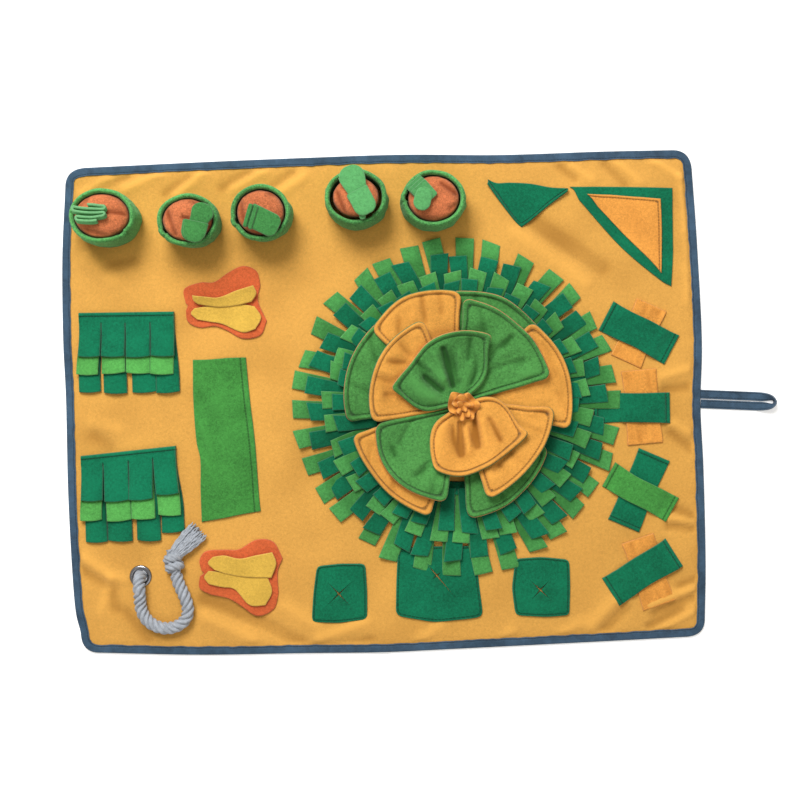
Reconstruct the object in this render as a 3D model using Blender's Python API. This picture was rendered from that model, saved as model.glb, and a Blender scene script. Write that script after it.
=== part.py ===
"""A snuffle mat: a fleece base cloth bound with tape, with cups, pockets, straps, a pull rope and a
petalled flower of fringe sewn on it.

The mat's long side runs along X, the row of cups is towards +Y and Z is up. The origin is the middle
of the mat's underside. All sizes and places in the tables are in millimetres.
"""

import math

import bmesh
import bpy
import numpy as np

MM = 0.001

# The mat and its tape
HALF_X, HALF_Y = 358.0, 279.0
MAT_THICK = 3.0
EDGE_LOW, EDGE_HIGH = 1.1, 2.5  # the pinched edge of the mat, inside the tape
EDGE_INSET = 1.2
TAPE_WIDE, TAPE_THICK, TAPE_HIGH = 9.5, 0.8, 3.6
GAP = 0.3
CLOTH = 2.0

# The levels of the cloth pieces sewn on the mat, from the mat up
LEVEL_1 = MAT_THICK + GAP
LEVEL_2 = LEVEL_1 + CLOTH + GAP
LEVEL_3 = LEVEL_2 + CLOTH + GAP

# The mat's outline, each side from its start to its end, anticlockwise from the lower left corner
SIDE_BOTTOM = [(-330, -273), (-218, -279), (-105, -281), (-15, -283), (64, -282), (234, -279), (330, -277)]
SIDE_RIGHT = [(353, -256), (356, -191), (357, -89), (356, -16), (360, 58), (358, 171), (355, 248)]
SIDE_TOP = [(333, 273), (252, 274), (139, 274), (26, 278), (-87, 278), (-200, 277), (-328, 275)]
SIDE_LEFT = [(-353, 252), (-359, 172), (-361, 82), (-360, 14), (-361, -99), (-358, -213), (-352, -250)]
SIDE_STEPS, SHORT_SIDE_STEPS, CORNER_STEPS = 19, 15, 4

# Soft folds of the mat: start x, y, end x, y, half width, height
MAT_FOLDS = [
    (352, -30, 335, -8, 10, 1.6),
    (350, -118, 330, -128, 9, 1.8),
    (350, -215, 332, -225, 12, 2.0),
    (345, -262, 240, -262, 9, 1.6),
    (225, -272, 215, -255, 12, 1.6),
    (120, -276, 122, -262, 12, 1.4),
    (-20, -276, -25, -262, 14, 1.6),
    (-120, -274, -110, -240, 14, 1.8),
    (-190, -272, -185, -250, 12, 1.6),
    (-300, -268, -305, -255, 12, 1.4),
    (-352, -196, -338, -192, 10, 1.6),
    (-352, -18, -338, -10, 9, 1.6),
    (-352, 160, -330, 150, 16, 1.8),
    (-250, 268, -275, 258, 12, 1.4),
    (120, 266, 118, 256, 12, 1.4),
    (280, 268, 270, 255, 16, 1.6),
]

# Hang loop: its root, its end, how far its two runs lie from its middle line, and the line's slope
LOOP_START_X, LOOP_END_X, LOOP_ROOT_Y = 356.5, 441.0, -9.0
LOOP_APART, LOOP_SLOPE = 6.6, -0.075
LOOP_WIDE, LOOP_THICK, LOOP_LEVEL = 8.2, 1.8, 1.2
LOOP_STATIONS = (372, 388, 404)
# Its far end: distance back from the end, away from the middle line, height, turn on to its edge
LOOP_TURN = [(22, LOOP_APART, 1.2, 0), (9, 5.4, 3.9, 45), (3, 2.8, 4.5, 82)]
LOOP_TIP = (1.6, 0, 4.6, 90)

# Cups, each row: rim centre x, y, rim half width, half depth, base half width, half depth
POT_HIGH = 48.0
POT_WALL = 4.0
POTS = [
    (-303, 214, 36.0, 30.5, 37.0, 31.0),
    (-208, 205, 35.0, 30.5, 36.0, 31.0),
    (-128, 210, 34.5, 33.0, 35.5, 33.5),
    (-24, 225, 35.5, 31.0, 36.5, 33.0),
    (62, 220, 36.0, 31.5, 38.0, 33.0),
]
POT_STEPS = 18
# Room between each toy and its cup
CARROT_ROOM = [0.5, 0.6, 0.8, 3.4, 0.8]
# A toy's form: height, and share of its full width
CARROT_FORM = [
    (LEVEL_1, 0.35), (10, 0.62), (24, 0.86), (38, 0.98), (46, 0.97), (51, 0.82), (54.2, 0.55), (56, 0.2),
]
CARROT_STEPS = 14

# Leaf strips. Each row: where the strip is held, x, y; the way it runs, in degrees; its width; whether
# it stands on edge; and its path, distance along its run and height, or, on edge, distance and offset.
LEAF_THICK, LEAF_ROUND, LEAF_EDGE_LEVEL, LEAF_BEND = 1.6, 9.0, 61.0, 2.1
LEAF_STEP_MIN = 0.3
LEAVES = [
    (-313, 214, -4, 9, True, [
        (-2, 9), (17, 8.6), (17, 4.4), (-18, 4.6), (-18, 0.2), (17, 0), (17, -4.6), (-14, -5), (-14, -9.2),
        (9, -8.6),
    ]),
    (-198, 205, 60, 24, False, [
        (19, 58.8), (9, 59.3), (0, 57.9), (-9, 59.6), (-20.6, 59.8), (-20.6, 57.3), (-9, 57),
    ]),
    (-128, 207, -30, 25, False, [
        (9, 57), (-5.8, 57), (-5.8, 62.8), (-2.6, 62.8), (-2.6, 59.4), (10, 59.4), (22, 58),
    ]),
    (-27, 222, -70, 25, False, [
        (-28, 57.8), (-12, 60), (0, 58.3), (9, 60), (20.6, 59.9), (20.6, 57.3), (6, 57),
    ]),
    (40, 222, -50, 24, False, [
        (4, 55.5), (-16, 55.5), (-16, 61.1), (-12.6, 61.1), (-12.6, 58), (-9.2, 58), (-9.2, 61.1),
        (-5.8, 61.1), (-5.8, 58), (6, 58.1), (15, 56.9),
    ]),
]

# Triangular pieces: rows of the cloth from one edge to the other, x, y, z above their level
TRIANGLE_POCKET = [
    [(124, 246, 3.5), (134, 242, 0.6), (149, 242, 0), (172, 240, 0), (195, 235, 0.6), (214, 233, 3.0)],
    [(124, 243, 3.0), (139, 230, 0.6), (154, 224, 0), (170, 225, 0), (192, 227, 0.6), (214, 231, 3.0)],
    [(123, 241, 2.6), (138, 219, 0.4), (157, 194, 0), (165, 194, 0), (190, 213, 0.4), (213, 229, 2.4)],
]
TRIANGLE_FRAME = [
    [(216, 235, 0), (251, 234, 0), (296, 232, 0), (332, 230, 0)],
    [(220, 232, 0), (250, 220, 0), (300, 205, 0), (331, 190, 0)],
    [(222, 229, 0), (257, 197, 0), (304, 168, 0), (330, 153, 0)],
    [(226, 220, 0), (271, 166, 0), (313, 128, 0), (327, 119, 0)],
]
TRIANGLE_INSET = [
    [(235, 226, 0), (262, 224, 0), (290, 221, 0), (318, 218, 0)],
    [(240, 221, 0), (266, 207, 0), (296, 195, 0), (318, 185, 0)],
    [(247, 211, 0), (276, 178, 0), (303, 150, 0), (316, 134, 0)],
]

# Fringe pockets: the header's left and right ends; then each strip's left and right side at the header
# and, for the low, middle and top layer, where the left side of its foot lies
POCKET_HEADER = 12.0
POCKETS = [
    (((-341, 111), (-233, 109)), [
        (-341, -317, (-344, 20), (-346, 41), (-343, 61)),
        (-315, -290, (-316, 19), (-317, 41), (-317, 59)),
        (-288, -262, (-284, 18), (-290, 40), (-289, 59)),
        (-260, -234, (-257, 18), (-263, 39), (-261, 59)),
    ]),
    (((-345, -50), (-237, -42)), [
        (-344, -320, (-342, -148), (-347, -124), (-345, -101)),
        (-318, -292, (-317, -148), (-317, -125), (-318, -102)),
        (-289, -264, (-284, -148), (-289, -124), (-291, -101)),
        (-262, -237, (-256, -140), (-259, -120), (-259, -97)),
    ]),
]

TUNNEL = [
    [(-215, 54, 0), (-216, 9, 0), (-214, -36, 0.6), (-210, -59, 2.2), (-211, -93, 0.8), (-211, -129, 0)],
    [(-196, 54, 0.8), (-195, 8, 1.2), (-192, -38, 1.6), (-189, -66, 2.6), (-189, -98, 1.6),
     (-189, -126, 0.8)],
    [(-175, 55, 0.8), (-172, 7, 1.2), (-168, -39, 1.4), (-166, -76, 1.4), (-165, -104, 1.2),
     (-166, -122, 0.8)],
    [(-155, 55, 0), (-152, 7, 0), (-148, -39, 0), (-146, -84, 0), (-145, -107, 0), (-144, -119, 0)],
]

# Butterflies: rows from the upper to the lower edge, of the base, x, y, then of the wings, x, y and
# height above their level
BUTTERFLY_BASES = [[
    [(-221, 118), (-222, 134), (-204, 141), (-188, 141), (-172, 151), (-155, 158), (-140, 152), (-136, 136)],
    [(-219, 115), (-214, 119), (-200, 121), (-186, 120), (-170, 121), (-155, 121), (-143, 119), (-139, 118)],
    [(-221, 110), (-219, 97), (-206, 90), (-189, 91), (-176, 86), (-158, 76), (-138, 79), (-130, 95)],
], [
    [(-213, -184), (-215, -172), (-207, -162), (-186, -161), (-170, -161), (-150, -151), (-131, -154),
     (-121, -173)],
    [(-211, -187), (-206, -187), (-194, -187), (-182, -188), (-168, -190), (-152, -190), (-138, -190),
     (-127, -188)],
    [(-215, -190), (-216, -203), (-204, -211), (-184, -216), (-170, -225), (-152, -237), (-133, -230),
     (-127, -212)],
]]
BUTTERFLY_WINGS = [[
    [(-215, 127, 8), (-200, 124, 10), (-186, 123, 10), (-172, 128, 11), (-158, 134, 12), (-143, 137, 9)],
    [(-212, 122, 4), (-200, 121, 5), (-186, 121, 5), (-172, 123, 5.5), (-158, 126, 6), (-144, 128, 5)],
    [(-209, 116, 0), (-196, 116, 0), (-184, 116, 0), (-171, 117, 0), (-158, 117, 0), (-146, 118, 0)],
    [(-213, 110, 0), (-200, 108, 0), (-187, 107, 0), (-172, 105, 0), (-157, 103, 0), (-143, 108, 0)],
    [(-215, 105, 1.5), (-205, 98, 0.8), (-188, 96, 0.8), (-172, 91, 0.8), (-155, 84, 0.8), (-141, 92, 1.5)],
], [
    [(-204, -172, 5), (-196, -168, 5), (-181, -169, 5), (-166, -173, 5), (-150, -167, 6), (-133, -168, 6)],
    [(-203, -178, 2.5), (-193, -177, 2.5), (-179, -178, 2.5), (-165, -180, 2.5), (-150, -178, 3),
     (-131, -178, 3)],
    [(-203, -184, 0), (-192, -185, 0), (-178, -187, 0), (-165, -189, 0), (-151, -191, 0), (-135, -193, 0)],
    [(-208, -190, 0), (-197, -194, 0), (-182, -196, 0), (-168, -200, 0), (-153, -209, 0), (-136, -206, 0)],
    [(-209, -198, 1.5), (-200, -204, 0.8), (-184, -205, 0.8), (-171, -213, 0.8), (-156, -228, 0.8),
     (-139, -217, 1.5)],
]]
WING_THICK = 1.6

# Pull rope: an eyelet, a rope that rises through it and lies on the mat, and a knot with a frayed end
EYELET = (-282.0, -188.0)
EYELET_HOLE, EYELET_RIM, EYELET_TOP = 7.5, 12.6, 5.0
BARREL_WALL = 1.5
EYELET_STEPS = 16
ROPE_RADIUS, ROPE_VALLEY = 7.0, 5.3
ROPE_LAY = 42.0
ROPE_STEP = 5.0
ROPE_ROUTE = [
    (-282, -188, 1.0), (-282, -188, 5.5), (-282, -189.5, 10), (-282, -194, 13.6), (-282, -201, 14.6),
    (-282, -209, 12.6), (-282, -217, 10.9), (-280.5, -226, 10.5), (-276, -235, 10.5), (-268, -242, 10.5),
    (-257, -246, 10.5), (-246, -245.5, 10.5), (-236, -241, 10.5), (-230, -233, 10.5), (-229, -223, 10.5),
    (-231.5, -213, 10.5), (-235.5, -203, 10.5), (-239, -194, 10.5), (-240.5, -186.5, 10.5),
]
# Knot rings along its axis: distance from the knot's rope side, radius across, radius up
KNOT_HEADING = 100.0
KNOT_RINGS = [
    (0.5, 6.0, 5.6), (3.0, 10.0, 8.0), (8.0, 11.6, 8.8), (12.5, 10.2, 8.0), (17.0, 11.2, 8.6),
    (22.0, 9.6, 7.6), (25.0, 6.4, 6.0),
]
# Frayed end: distance along it, half width, half height, height of its middle
TASSEL_HEADING = 38.0
TASSEL_RINGS = [(0.0, 6.0, 5.6, 10.5), (5.0, 6.6, 5.6, 10.3), (20.0, 10.5, 5.2, 9.8), (36.0, 14.0, 4.6, 9.8)]
TASSEL_STRANDS = 14
STRAND_THICK = 2.4

# Slit squares: the outline's corners and side middles, anticlockwise, then the crossed slit's centre,
# its turn, the length of its two arms and how far its flaps stand up
SLIT_SQUARES = [
    ([(-28, -182), (-56, -181), (-83, -183), (-88, -214), (-91, -246), (-62, -248), (-28, -245), (-27, -214)],
     (-59, -215), 42, 17, 17, 1.6),
    ([(97, -166), (53, -165), (9, -166), (6, -204), (4, -242), (48, -251), (103, -247), (99, -206)],
     (52, -198), -52, 32, 5, 0.2),
    ([(202, -185), (170, -181), (141, -182), (136, -215), (139, -246), (173, -249), (200, -248), (202, -216)],
     (168, -218), 45, 14, 14, 1.4),
]
SLIT_GAPE = 2.6

# Straps: each row is the middle of one end, of the other end, the width, and the hump in the middle
STRAPS_UNDER = [
    ((304, 99), (273, 36), 37),
    ((287, 26), (292, -57.5), 40),
    ((301, -69.5), (264, -149), 38),
    ((279, -164), (302, -240), 38),
]
# and the shares of its length where it leaves the mat, is clear of the lower strap, and comes down
STRAPS_OVER = [
    ((252, 88), (325, 47), 37, 0.13, 0.24, 0.77, 0.88),
    ((235, -16), (321, -17), 35, 0.35, 0.385, 0.91, 0.96),
    ((249, -91), (320, -133), 31, 0.09, 0.18, 0.75, 0.85),
    ((247, -223), (320, -180), 37, 0.17, 0.26, 0.93, 0.98),
]

# The flower: rings of fringe strips, outermost and lowest first
FLOWER = (82.0, -7.0)
RING_THICK = 1.6
RING_SPACE = 2.0
RING_LEVEL = LEVEL_2 + 0.2
RING_STRIPS = 34
# Each ring: the backing's inner and outer radius, the tips' radius, a strip's width at its root and its
# tip, the ring's turn, and how far a strip's root and tip may stray from their even places, in degrees
RINGS = [
    (108, 117, 183, 18.0, 21.0, 0.0, 0.8, 1.9),
    (99, 112, 169, 17.0, 20.5, 1.9, 0.8, 1.7),
    (92, 107, 150, 16.0, 20.0, 5.4, 0.9, 1.35),
    (86, 102, 138, 15.0, 19.0, 7.6, 0.9, 1.2),
]
# How much longer the lowest ring's strips are, by angle
RING_REACH = [
    (-180, 3), (-120, 6), (-80, 11), (-50, 3), (-25, -1), (0, -2), (30, -1), (60, 2), (100, 4), (150, 3),
    (180, 3),
]

# Petal surfaces, by radius from the flower's middle
PETAL_THICK = 2.4
PETAL_SPACE = 3.2
PETAL_RADII = [7.0, 24.0, 44.0, 66.0, 90.0, 107.0, 131.0]
PETAL_FLOOR = [3.9, 4.4, 6.4, 10.4, 15.6, 16.2, 17.0]
PLEAT_HEIGHT = [0.0, 1.2, 1.8, 1.6, 1.2, 1.0, 0.6]
PLEAT_STEP = 10
HUB_RADIUS = 24.0
# Petals: level from the lowest, how far the rim rises above the level, and each fan's start angle,
# end angle, rim radius at the start, middle and end
PETALS = {
    "petals_low_green": (0, 0.0, [
        (130, 187, 130, 131, 126), (36, 93, 123, 130, 128), (-87, -27, 128, 122, 112),
    ]),
    "petals_low_orange": (1, 0.0, [
        (87, 138, 126, 136, 129), (-14, 47, 127, 129, 125), (193, 254, 124, 125, 129),
    ]),
    "petal_mid_1": (2, 4.0, [(111, 190, 104, 103, 97)]),
    "petal_mid_2": (2, 4.0, [(15, 86, 107, 112, 119)]),
    "petal_mid_3": (2, 4.0, [(-75, -3, 109, 105, 107)]),
    "petal_mid_4": (2, 4.0, [(191, 261, 96, 109, 108)]),
    "petal_top_green": (3, 10.0, [(61, 166, 81, 77, 81)]),
    "petal_top_orange": (3, 10.0, [(205, 335, 58, 79, 84)]),
}
# The gathered centre: rings of radius and height, with frills that grow outwards
CENTRE = (87.0, -7.5)
CENTRE_RINGS = [(4.0, 16.6, 0.0), (11.0, 18.0, 2.5), (19.0, 20.0, 5.0)]
CENTRE_THICK = 3.0
CENTRE_FRILLS = 6
CENTRE_STEPS = 24


def catmull(points, steps):
    """A smooth curve through the points, with a number of steps between each pair."""
    p = np.asarray(points, float)
    p = np.concatenate([2 * p[:1] - p[1:2], p, 2 * p[-1:] - p[-2:-1]])
    t = np.linspace(0, 1, steps, endpoint=False)[:, None]
    out = []
    for a, b, c, d in zip(p, p[1:], p[2:], p[3:]):
        bend = (2 * a - 5 * b + 4 * c - d) * t**2 + (3 * b - a - 3 * c + d) * t**3
        out.append(b + 0.5 * ((c - a) * t + bend))
    return np.concatenate([*out, p[-2:-1]])


def along(line, count):
    """The line again with evenly spaced points."""
    line = np.asarray(line, float)
    far = np.concatenate([[0], np.cumsum(np.linalg.norm(np.diff(line, axis=0), axis=1))])
    at = np.linspace(0, far[-1], count)
    return np.stack([np.interp(at, far, line[:, k]) for k in range(line.shape[1])], axis=1)


def rounded(points, radius, steps=3):
    """The line, in a plane, with its corners rounded by arcs of a radius where its legs leave room."""
    p = np.asarray(points, float)
    out = [p[:1]]
    for before, corner, after in zip(p, p[1:], p[2:]):
        way_in, way_out = corner - before, after - corner
        room = min(np.linalg.norm(way_in), np.linalg.norm(way_out)) / 2
        way_in, way_out = way_in / np.linalg.norm(way_in), way_out / np.linalg.norm(way_out)
        turn = math.atan2(way_in[0] * way_out[1] - way_in[1] * way_out[0], way_in @ way_out)
        bend = min(radius, room / math.tan(abs(turn) / 2))
        inwards = math.copysign(bend, turn) * np.array([-way_in[1], way_in[0]])
        middle = corner - way_in * bend * math.tan(abs(turn) / 2) + inwards
        a = turn * np.linspace(0, 1, steps + 1)[:, None]
        out.append(middle - inwards * np.cos(a) - np.array([-inwards[1], inwards[0]]) * np.sin(a))
    return np.concatenate([*out, p[-1:]])


def ways(path):
    """The direction along a line at each of its points, the middle one between its two legs."""
    legs = np.diff(path, axis=0)
    legs /= np.linalg.norm(legs, axis=1)[:, None]
    both = np.concatenate([legs[:1], legs[:-1] + legs[1:], legs[-1:]])
    return both / np.linalg.norm(both, axis=1)[:, None]


def around(centre, radius, turn):
    """The point at a radius and a turn about a centre."""
    return centre[0] + radius * math.cos(turn), centre[1] + radius * math.sin(turn)


def finish(name, colour, roughness, metallic=0.0):
    """A plain Principled material."""
    material = bpy.data.materials.new(name)
    material.use_nodes = True
    shader = material.node_tree.nodes["Principled BSDF"]
    shader.inputs["Base Color"].default_value = (*colour, 1.0)
    shader.inputs["Roughness"].default_value = roughness
    shader.inputs["Metallic"].default_value = metallic
    return material


def add_solid(name, points, faces, material, smooth=False):
    """One closed object from points in millimetres, with its faces turned outwards."""
    mesh = bpy.data.meshes.new(name)
    mesh.from_pydata((np.asarray(points, float) * MM).tolist(), [], [list(map(int, f)) for f in faces])
    form = bmesh.new()
    form.from_mesh(mesh)
    bmesh.ops.recalc_face_normals(form, faces=form.faces)
    form.to_mesh(mesh)
    form.free()
    mesh.materials.append(material)
    if smooth:
        mesh.shade_smooth()
        mesh.set_sharp_from_angle(angle=math.radians(40))
    thing = bpy.data.objects.new(name, mesh)
    bpy.context.collection.objects.link(thing)
    return thing


def cloth(name, top, bottom, material, mask=None, wrap=False):
    """A closed sheet between two grids of points.

    The grids are columns by rows by 3. The mask says which cells are cloth, so that strips stand apart,
    and wrap joins the last column to the first. Every free edge of the cloth gets a wall.
    """
    top, bottom = np.asarray(top, float), np.asarray(bottom, float)
    columns, rows = top.shape[:2]
    cells = columns if wrap else columns - 1
    if mask is None:
        mask = np.ones((cells, rows - 1), bool)
    under = columns * rows
    faces, edges = [], set()
    for i, j in np.argwhere(mask):
        start, after = i * rows + j, (i + 1) % columns * rows + j
        a, b, c, d = start, after, after + 1, start + 1
        faces += [(a, b, c), (a, c, d)]
        faces += [(under + a, under + c, under + b), (under + a, under + d, under + c)]
        for edge in ((a, b), (b, c), (c, d), (d, a)):
            if edge[::-1] in edges:
                edges.remove(edge[::-1])
            else:
                edges.add(edge)
    for a, b in sorted(edges):
        faces += [(a, under + a, under + b), (a, under + b, b)]
    points = np.concatenate([top.reshape(-1, 3), bottom.reshape(-1, 3)])
    used, faces = np.unique(np.array(faces), return_inverse=True)
    return add_solid(name, points[used], faces.reshape(-1, 3), material)


def loops(name, rings, material, joined=False, smooth=False):
    """A closed body through rings of points, with its ends capped, or joined into a ring itself."""
    rings = np.asarray(rings, float)
    count, sides = rings.shape[:2]
    points = [*rings.reshape(-1, 3)]
    faces = []
    for i in range(count if joined else count - 1):
        for k in range(sides):
            a, b = i * sides + k, i * sides + (k + 1) % sides
            c, d = (i + 1) % count * sides + (k + 1) % sides, (i + 1) % count * sides + k
            faces += [(a, b, c), (a, c, d)]
    if not joined:
        for first in (0, (count - 1) * sides):
            points.append(rings[first // sides].mean(axis=0))
            faces += [(first + k, first + (k + 1) % sides, len(points) - 1) for k in range(sides)]
    return add_solid(name, points, faces, material, smooth)


def turned(name, centre, profile, steps, material, smooth=True):
    """A ring turned about a vertical line: the profile is a closed loop of radius and height."""
    turn = np.linspace(0, 2 * math.pi, steps, endpoint=False)
    profile = np.asarray(profile, float)
    x = centre[0] + profile[None, :, 0] * np.cos(turn)[:, None]
    y = centre[1] + profile[None, :, 0] * np.sin(turn)[:, None]
    z = np.broadcast_to(profile[None, :, 1], x.shape)
    return loops(name, np.stack([x, y, z], axis=-1), material, joined=True, smooth=smooth)


def flat_cloth(name, rows, level, material, thick=CLOTH):
    """A cloth whose rows of points are given from one edge to the other, lying at a level."""
    grid = np.asarray(rows, float)
    if grid.shape[2] == 2:
        grid = np.concatenate([grid, np.zeros((*grid.shape[:2], 1))], axis=2)
    low = grid + (0, 0, level)
    return cloth(name, low + (0, 0, thick), low, material)


def mat_outline():
    """The mat's outline, anticlockwise, with arcs at its corners between four gently wavy sides."""
    sides = [SIDE_BOTTOM, SIDE_RIGHT, SIDE_TOP, SIDE_LEFT]
    counts = [SIDE_STEPS, SHORT_SIDE_STEPS, SIDE_STEPS, SHORT_SIDE_STEPS]
    points = []
    for side, following, count in zip(sides, sides[1:] + sides[:1], counts):
        points.append(along(catmull(side, 8), count))
        start, end = np.array(side[-1], float), np.array(following[0], float)
        horizontal = abs(side[0][1] - side[-1][1]) < abs(side[0][0] - side[-1][0])
        corner = np.array([end[0], start[1]] if horizontal else [start[0], end[1]])
        t = np.linspace(0, 1, CORNER_STEPS + 1)[1:-1, None]
        points.append((1 - t) ** 2 * start + 2 * t * (1 - t) * corner + t**2 * end)
    return np.concatenate(points)


def inset(outline, depth):
    """The outline drawn in by a depth on all four sides."""
    return outline * (1 - depth / np.array([HALF_X, HALF_Y]))


def fold_height(points):
    """How far the mat's folds lift it at each point: soft ridges round straight lines."""
    lift = np.zeros(len(points))
    for x0, y0, x1, y1, half, high in MAT_FOLDS:
        start, way = np.array([x0, y0], float), np.array([x1 - x0, y1 - y0], float)
        t = np.clip((points - start) @ way / (way @ way), 0, 1)
        away = np.linalg.norm(points - start - t[:, None] * way, axis=1)
        lift += high * np.exp(-((away / half) ** 2))
    return lift


def build_mat(material):
    """The base cloth: flat below, pinched at its edge where the tape grips it, with a rope hole."""
    outline = mat_outline()
    grip = TAPE_WIDE + 1.0
    # how far in from the edge, height, and the share of the folds' height
    lower = [(64, 0, 0), (30, 0, 0), (16, 0, 1), (grip, EDGE_LOW, 0), (EDGE_INSET, EDGE_LOW, 0)]
    upper = [(EDGE_INSET, EDGE_HIGH, 0), (grip, EDGE_HIGH, 0), (16, MAT_THICK, 1), (30, MAT_THICK, 0),
             (64, MAT_THICK, 0)]
    rings = []
    for depth, height, folded in lower + upper:
        ring = inset(outline, depth)
        rings.append(np.column_stack([ring, height + fold_height(ring) * folded]))
    panel = loops("mat_panel", rings, material)

    # The cutter is wide under the mat, where the eyelet's lower flange is let in.
    bore, recess = EYELET_HOLE + BARREL_WALL + GAP, EYELET_RIM + GAP
    cuts = [(recess, -1), (recess, EDGE_LOW), (bore, EDGE_LOW), (bore, MAT_THICK + 6)]
    rings = [ellipse(EYELET, radius, radius, z, EYELET_STEPS) for radius, z in cuts]
    cutter = loops("rope_hole", rings, material)
    cutter.hide_render = True
    cutter.display_type = "WIRE"
    hole = panel.modifiers.new("rope_hole", "BOOLEAN")
    hole.operation = "DIFFERENCE"
    hole.object = cutter


def build_binding(material):
    """The tape: one folded strip that grips the mat's edge all round."""
    outline = mat_outline()
    wide, top, low = TAPE_WIDE, TAPE_HIGH, TAPE_THICK
    lower = [(0.7, 0), (wide, 0), (wide, low), (0.9, low)]
    upper = [(0.9, top - low), (wide, top - low), (wide, top), (0.5, top)]
    rings = [np.column_stack([inset(outline, depth), np.full(len(outline), z)]) for depth, z in lower + upper]
    loops("edge_binding", np.stack(rings, axis=1), material, joined=True)


def ribbon(name, path, across, through, wide, thick, material):
    """A strip of cloth or tape along a path, with its own directions across and through it."""
    wide = np.broadcast_to(np.asarray(wide, float), len(path))[:, None]
    corners = ((-0.5, -0.5), (0.5, -0.5), (0.5, 0.5), (-0.5, 0.5))
    rings = [path + across * wide * a + through * thick * b for a, b in corners]
    return loops(name, np.stack(rings, axis=1), material)


def build_hang_loop(material):
    """The loop: a flat tape that runs out, turns on its edge at the end and runs back."""
    half = [(LOOP_END_X - x, LOOP_APART, LOOP_LEVEL, 0) for x in (LOOP_START_X, *LOOP_STATIONS)] + LOOP_TURN
    back = [(a, -b, z, roll) for a, b, z, roll in half[::-1]]
    path = catmull(half + [LOOP_TIP] + back, 3)
    roll = np.radians(path[:, 3])[:, None]
    path[:, 0] = LOOP_END_X - path[:, 0]
    path[:, 1] += LOOP_ROOT_Y + LOOP_SLOPE * (path[:, 0] - LOOP_START_X)
    path = path[:, :3]
    way = ways(path[:, :2])
    side = np.column_stack([-way[:, 1], way[:, 0], np.zeros(len(way))])
    up = np.array([0, 0, 1.0])
    across = side * np.cos(roll) + up * np.sin(roll)
    through = side * np.sin(roll) - up * np.cos(roll)
    ribbon("hang_loop", path, across, through, LOOP_WIDE, LOOP_THICK, material)


def ellipse(centre, half_x, half_y, z, steps):
    """A level ring of points on an ellipse."""
    turn = np.linspace(0, 2 * math.pi, steps, endpoint=False)
    x, y = centre[0] + half_x * np.cos(turn), centre[1] + half_y * np.sin(turn)
    return np.column_stack([x, y, np.full(steps, z)])


def build_pot(number, row, material):
    """A cup: an oval tube of cloth with a rolled rim, standing on the mat."""
    x, y, rim_x, rim_y, base_x, base_y = row
    low, high, wall = LEVEL_1, LEVEL_1 + POT_HIGH, POT_WALL
    # inwards from the outer face, height, and share of the base's size
    profile = [
        (0, low, 1), (-1.2, low + POT_HIGH * 0.5, 0.6), (0.2, high - 7, 0), (0.8, high - 1.5, 0),
        (3.0, high, 0), (wall + 1.0, high - 3, 0), (wall, high - 10, 0), (wall, low, 1),
    ]
    rings = []
    for inwards, z, base in profile:
        half_x, half_y = base_x * base + rim_x * (1 - base), base_y * base + rim_y * (1 - base)
        rings.append(ellipse((x, y), half_x - inwards, half_y - inwards, z, POT_STEPS))
    loops(f"carrot_pot_{number}", np.stack(rings, axis=1), material, joined=True, smooth=True)


def build_carrot(number, row, room, material):
    """A stuffed toy: a blunt cone that fills its cup, with a domed crown."""
    x, y, rim_x, rim_y = row[:4]
    half_x, half_y = rim_x - POT_WALL - 1.0 - room, rim_y - POT_WALL - 1.0 - room
    rings = [ellipse((x, y), half_x * share, half_y * share, z, CARROT_STEPS) for z, share in CARROT_FORM]
    loops(f"carrot_{number}", rings, material, smooth=True)


def build_leaves(number, row, material):
    """A leaf strip, folded at the toy's crown, flat or standing on its edge."""
    x, y, heading, wide, on_edge, profile = row
    heading = math.radians(heading)
    way = np.array([math.cos(heading), math.sin(heading), 0])
    side, up = np.array([-way[1], way[0], 0]), np.array([0, 0, 1.0])
    line = rounded(profile, LEAF_BEND)
    far = np.concatenate([[0], np.cumsum(np.linalg.norm(np.diff(line, axis=0), axis=1))])
    near_ends = np.array([0.3, 1.0]) * LEAF_ROUND
    stations = np.sort(np.concatenate([far, near_ends, far[-1] - near_ends]))
    stations = stations[np.diff(stations, prepend=-1) > LEAF_STEP_MIN]
    run, offset = (np.interp(stations, far, part)[:, None] for part in line.T)
    if on_edge:
        path, across = np.array([x, y, LEAF_EDGE_LEVEL]) + way * run + side * offset, up
    else:
        path, across = np.array([x, y, 0]) + way * run + up * offset, side
    through = np.cross(ways(path), across)
    # A flat strip's ends are rounded: it narrows over the last stretch, as a circle does.
    near_end = np.clip(np.minimum(stations, far[-1] - stations) / LEAF_ROUND, 0.12, 1)
    half = wide if on_edge else wide * np.sqrt(1 - (1 - near_end) ** 2)
    ribbon(f"carrot_leaves_{number}", path, across, through, half, LEAF_THICK, material)


def build_pocket(number, head, strips, materials):
    """A fringe pocket: three layers, each a header with four strips cut in its lower edge."""
    (left_x, left_y), (right_x, right_y) = head
    layers = zip(("low", "middle", "top"), (LEVEL_1, LEVEL_2, LEVEL_3), materials)
    for k, (layer, level, material) in enumerate(layers):
        columns = []
        for left, right, *feet in strips:
            foot_x, foot_y = feet[k]
            for x, foot in ((left, foot_x), (right, foot_x + right - left)):
                top = left_y + (x - left_x) / (right_x - left_x) * (right_y - left_y)
                root = top - POCKET_HEADER
                columns.append([(x, top), (x, root), ((x + foot) / 2, (root + foot_y) / 2), (foot, foot_y)])
        low = np.concatenate([columns, np.full((len(columns), 4, 1), level)], axis=2)
        mask = np.ones((len(columns) - 1, 3), bool)
        mask[1::2, 1:] = False
        cloth(f"fringe_pocket_{number}_{layer}", low + (0, 0, CLOTH), low, material, mask)


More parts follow.
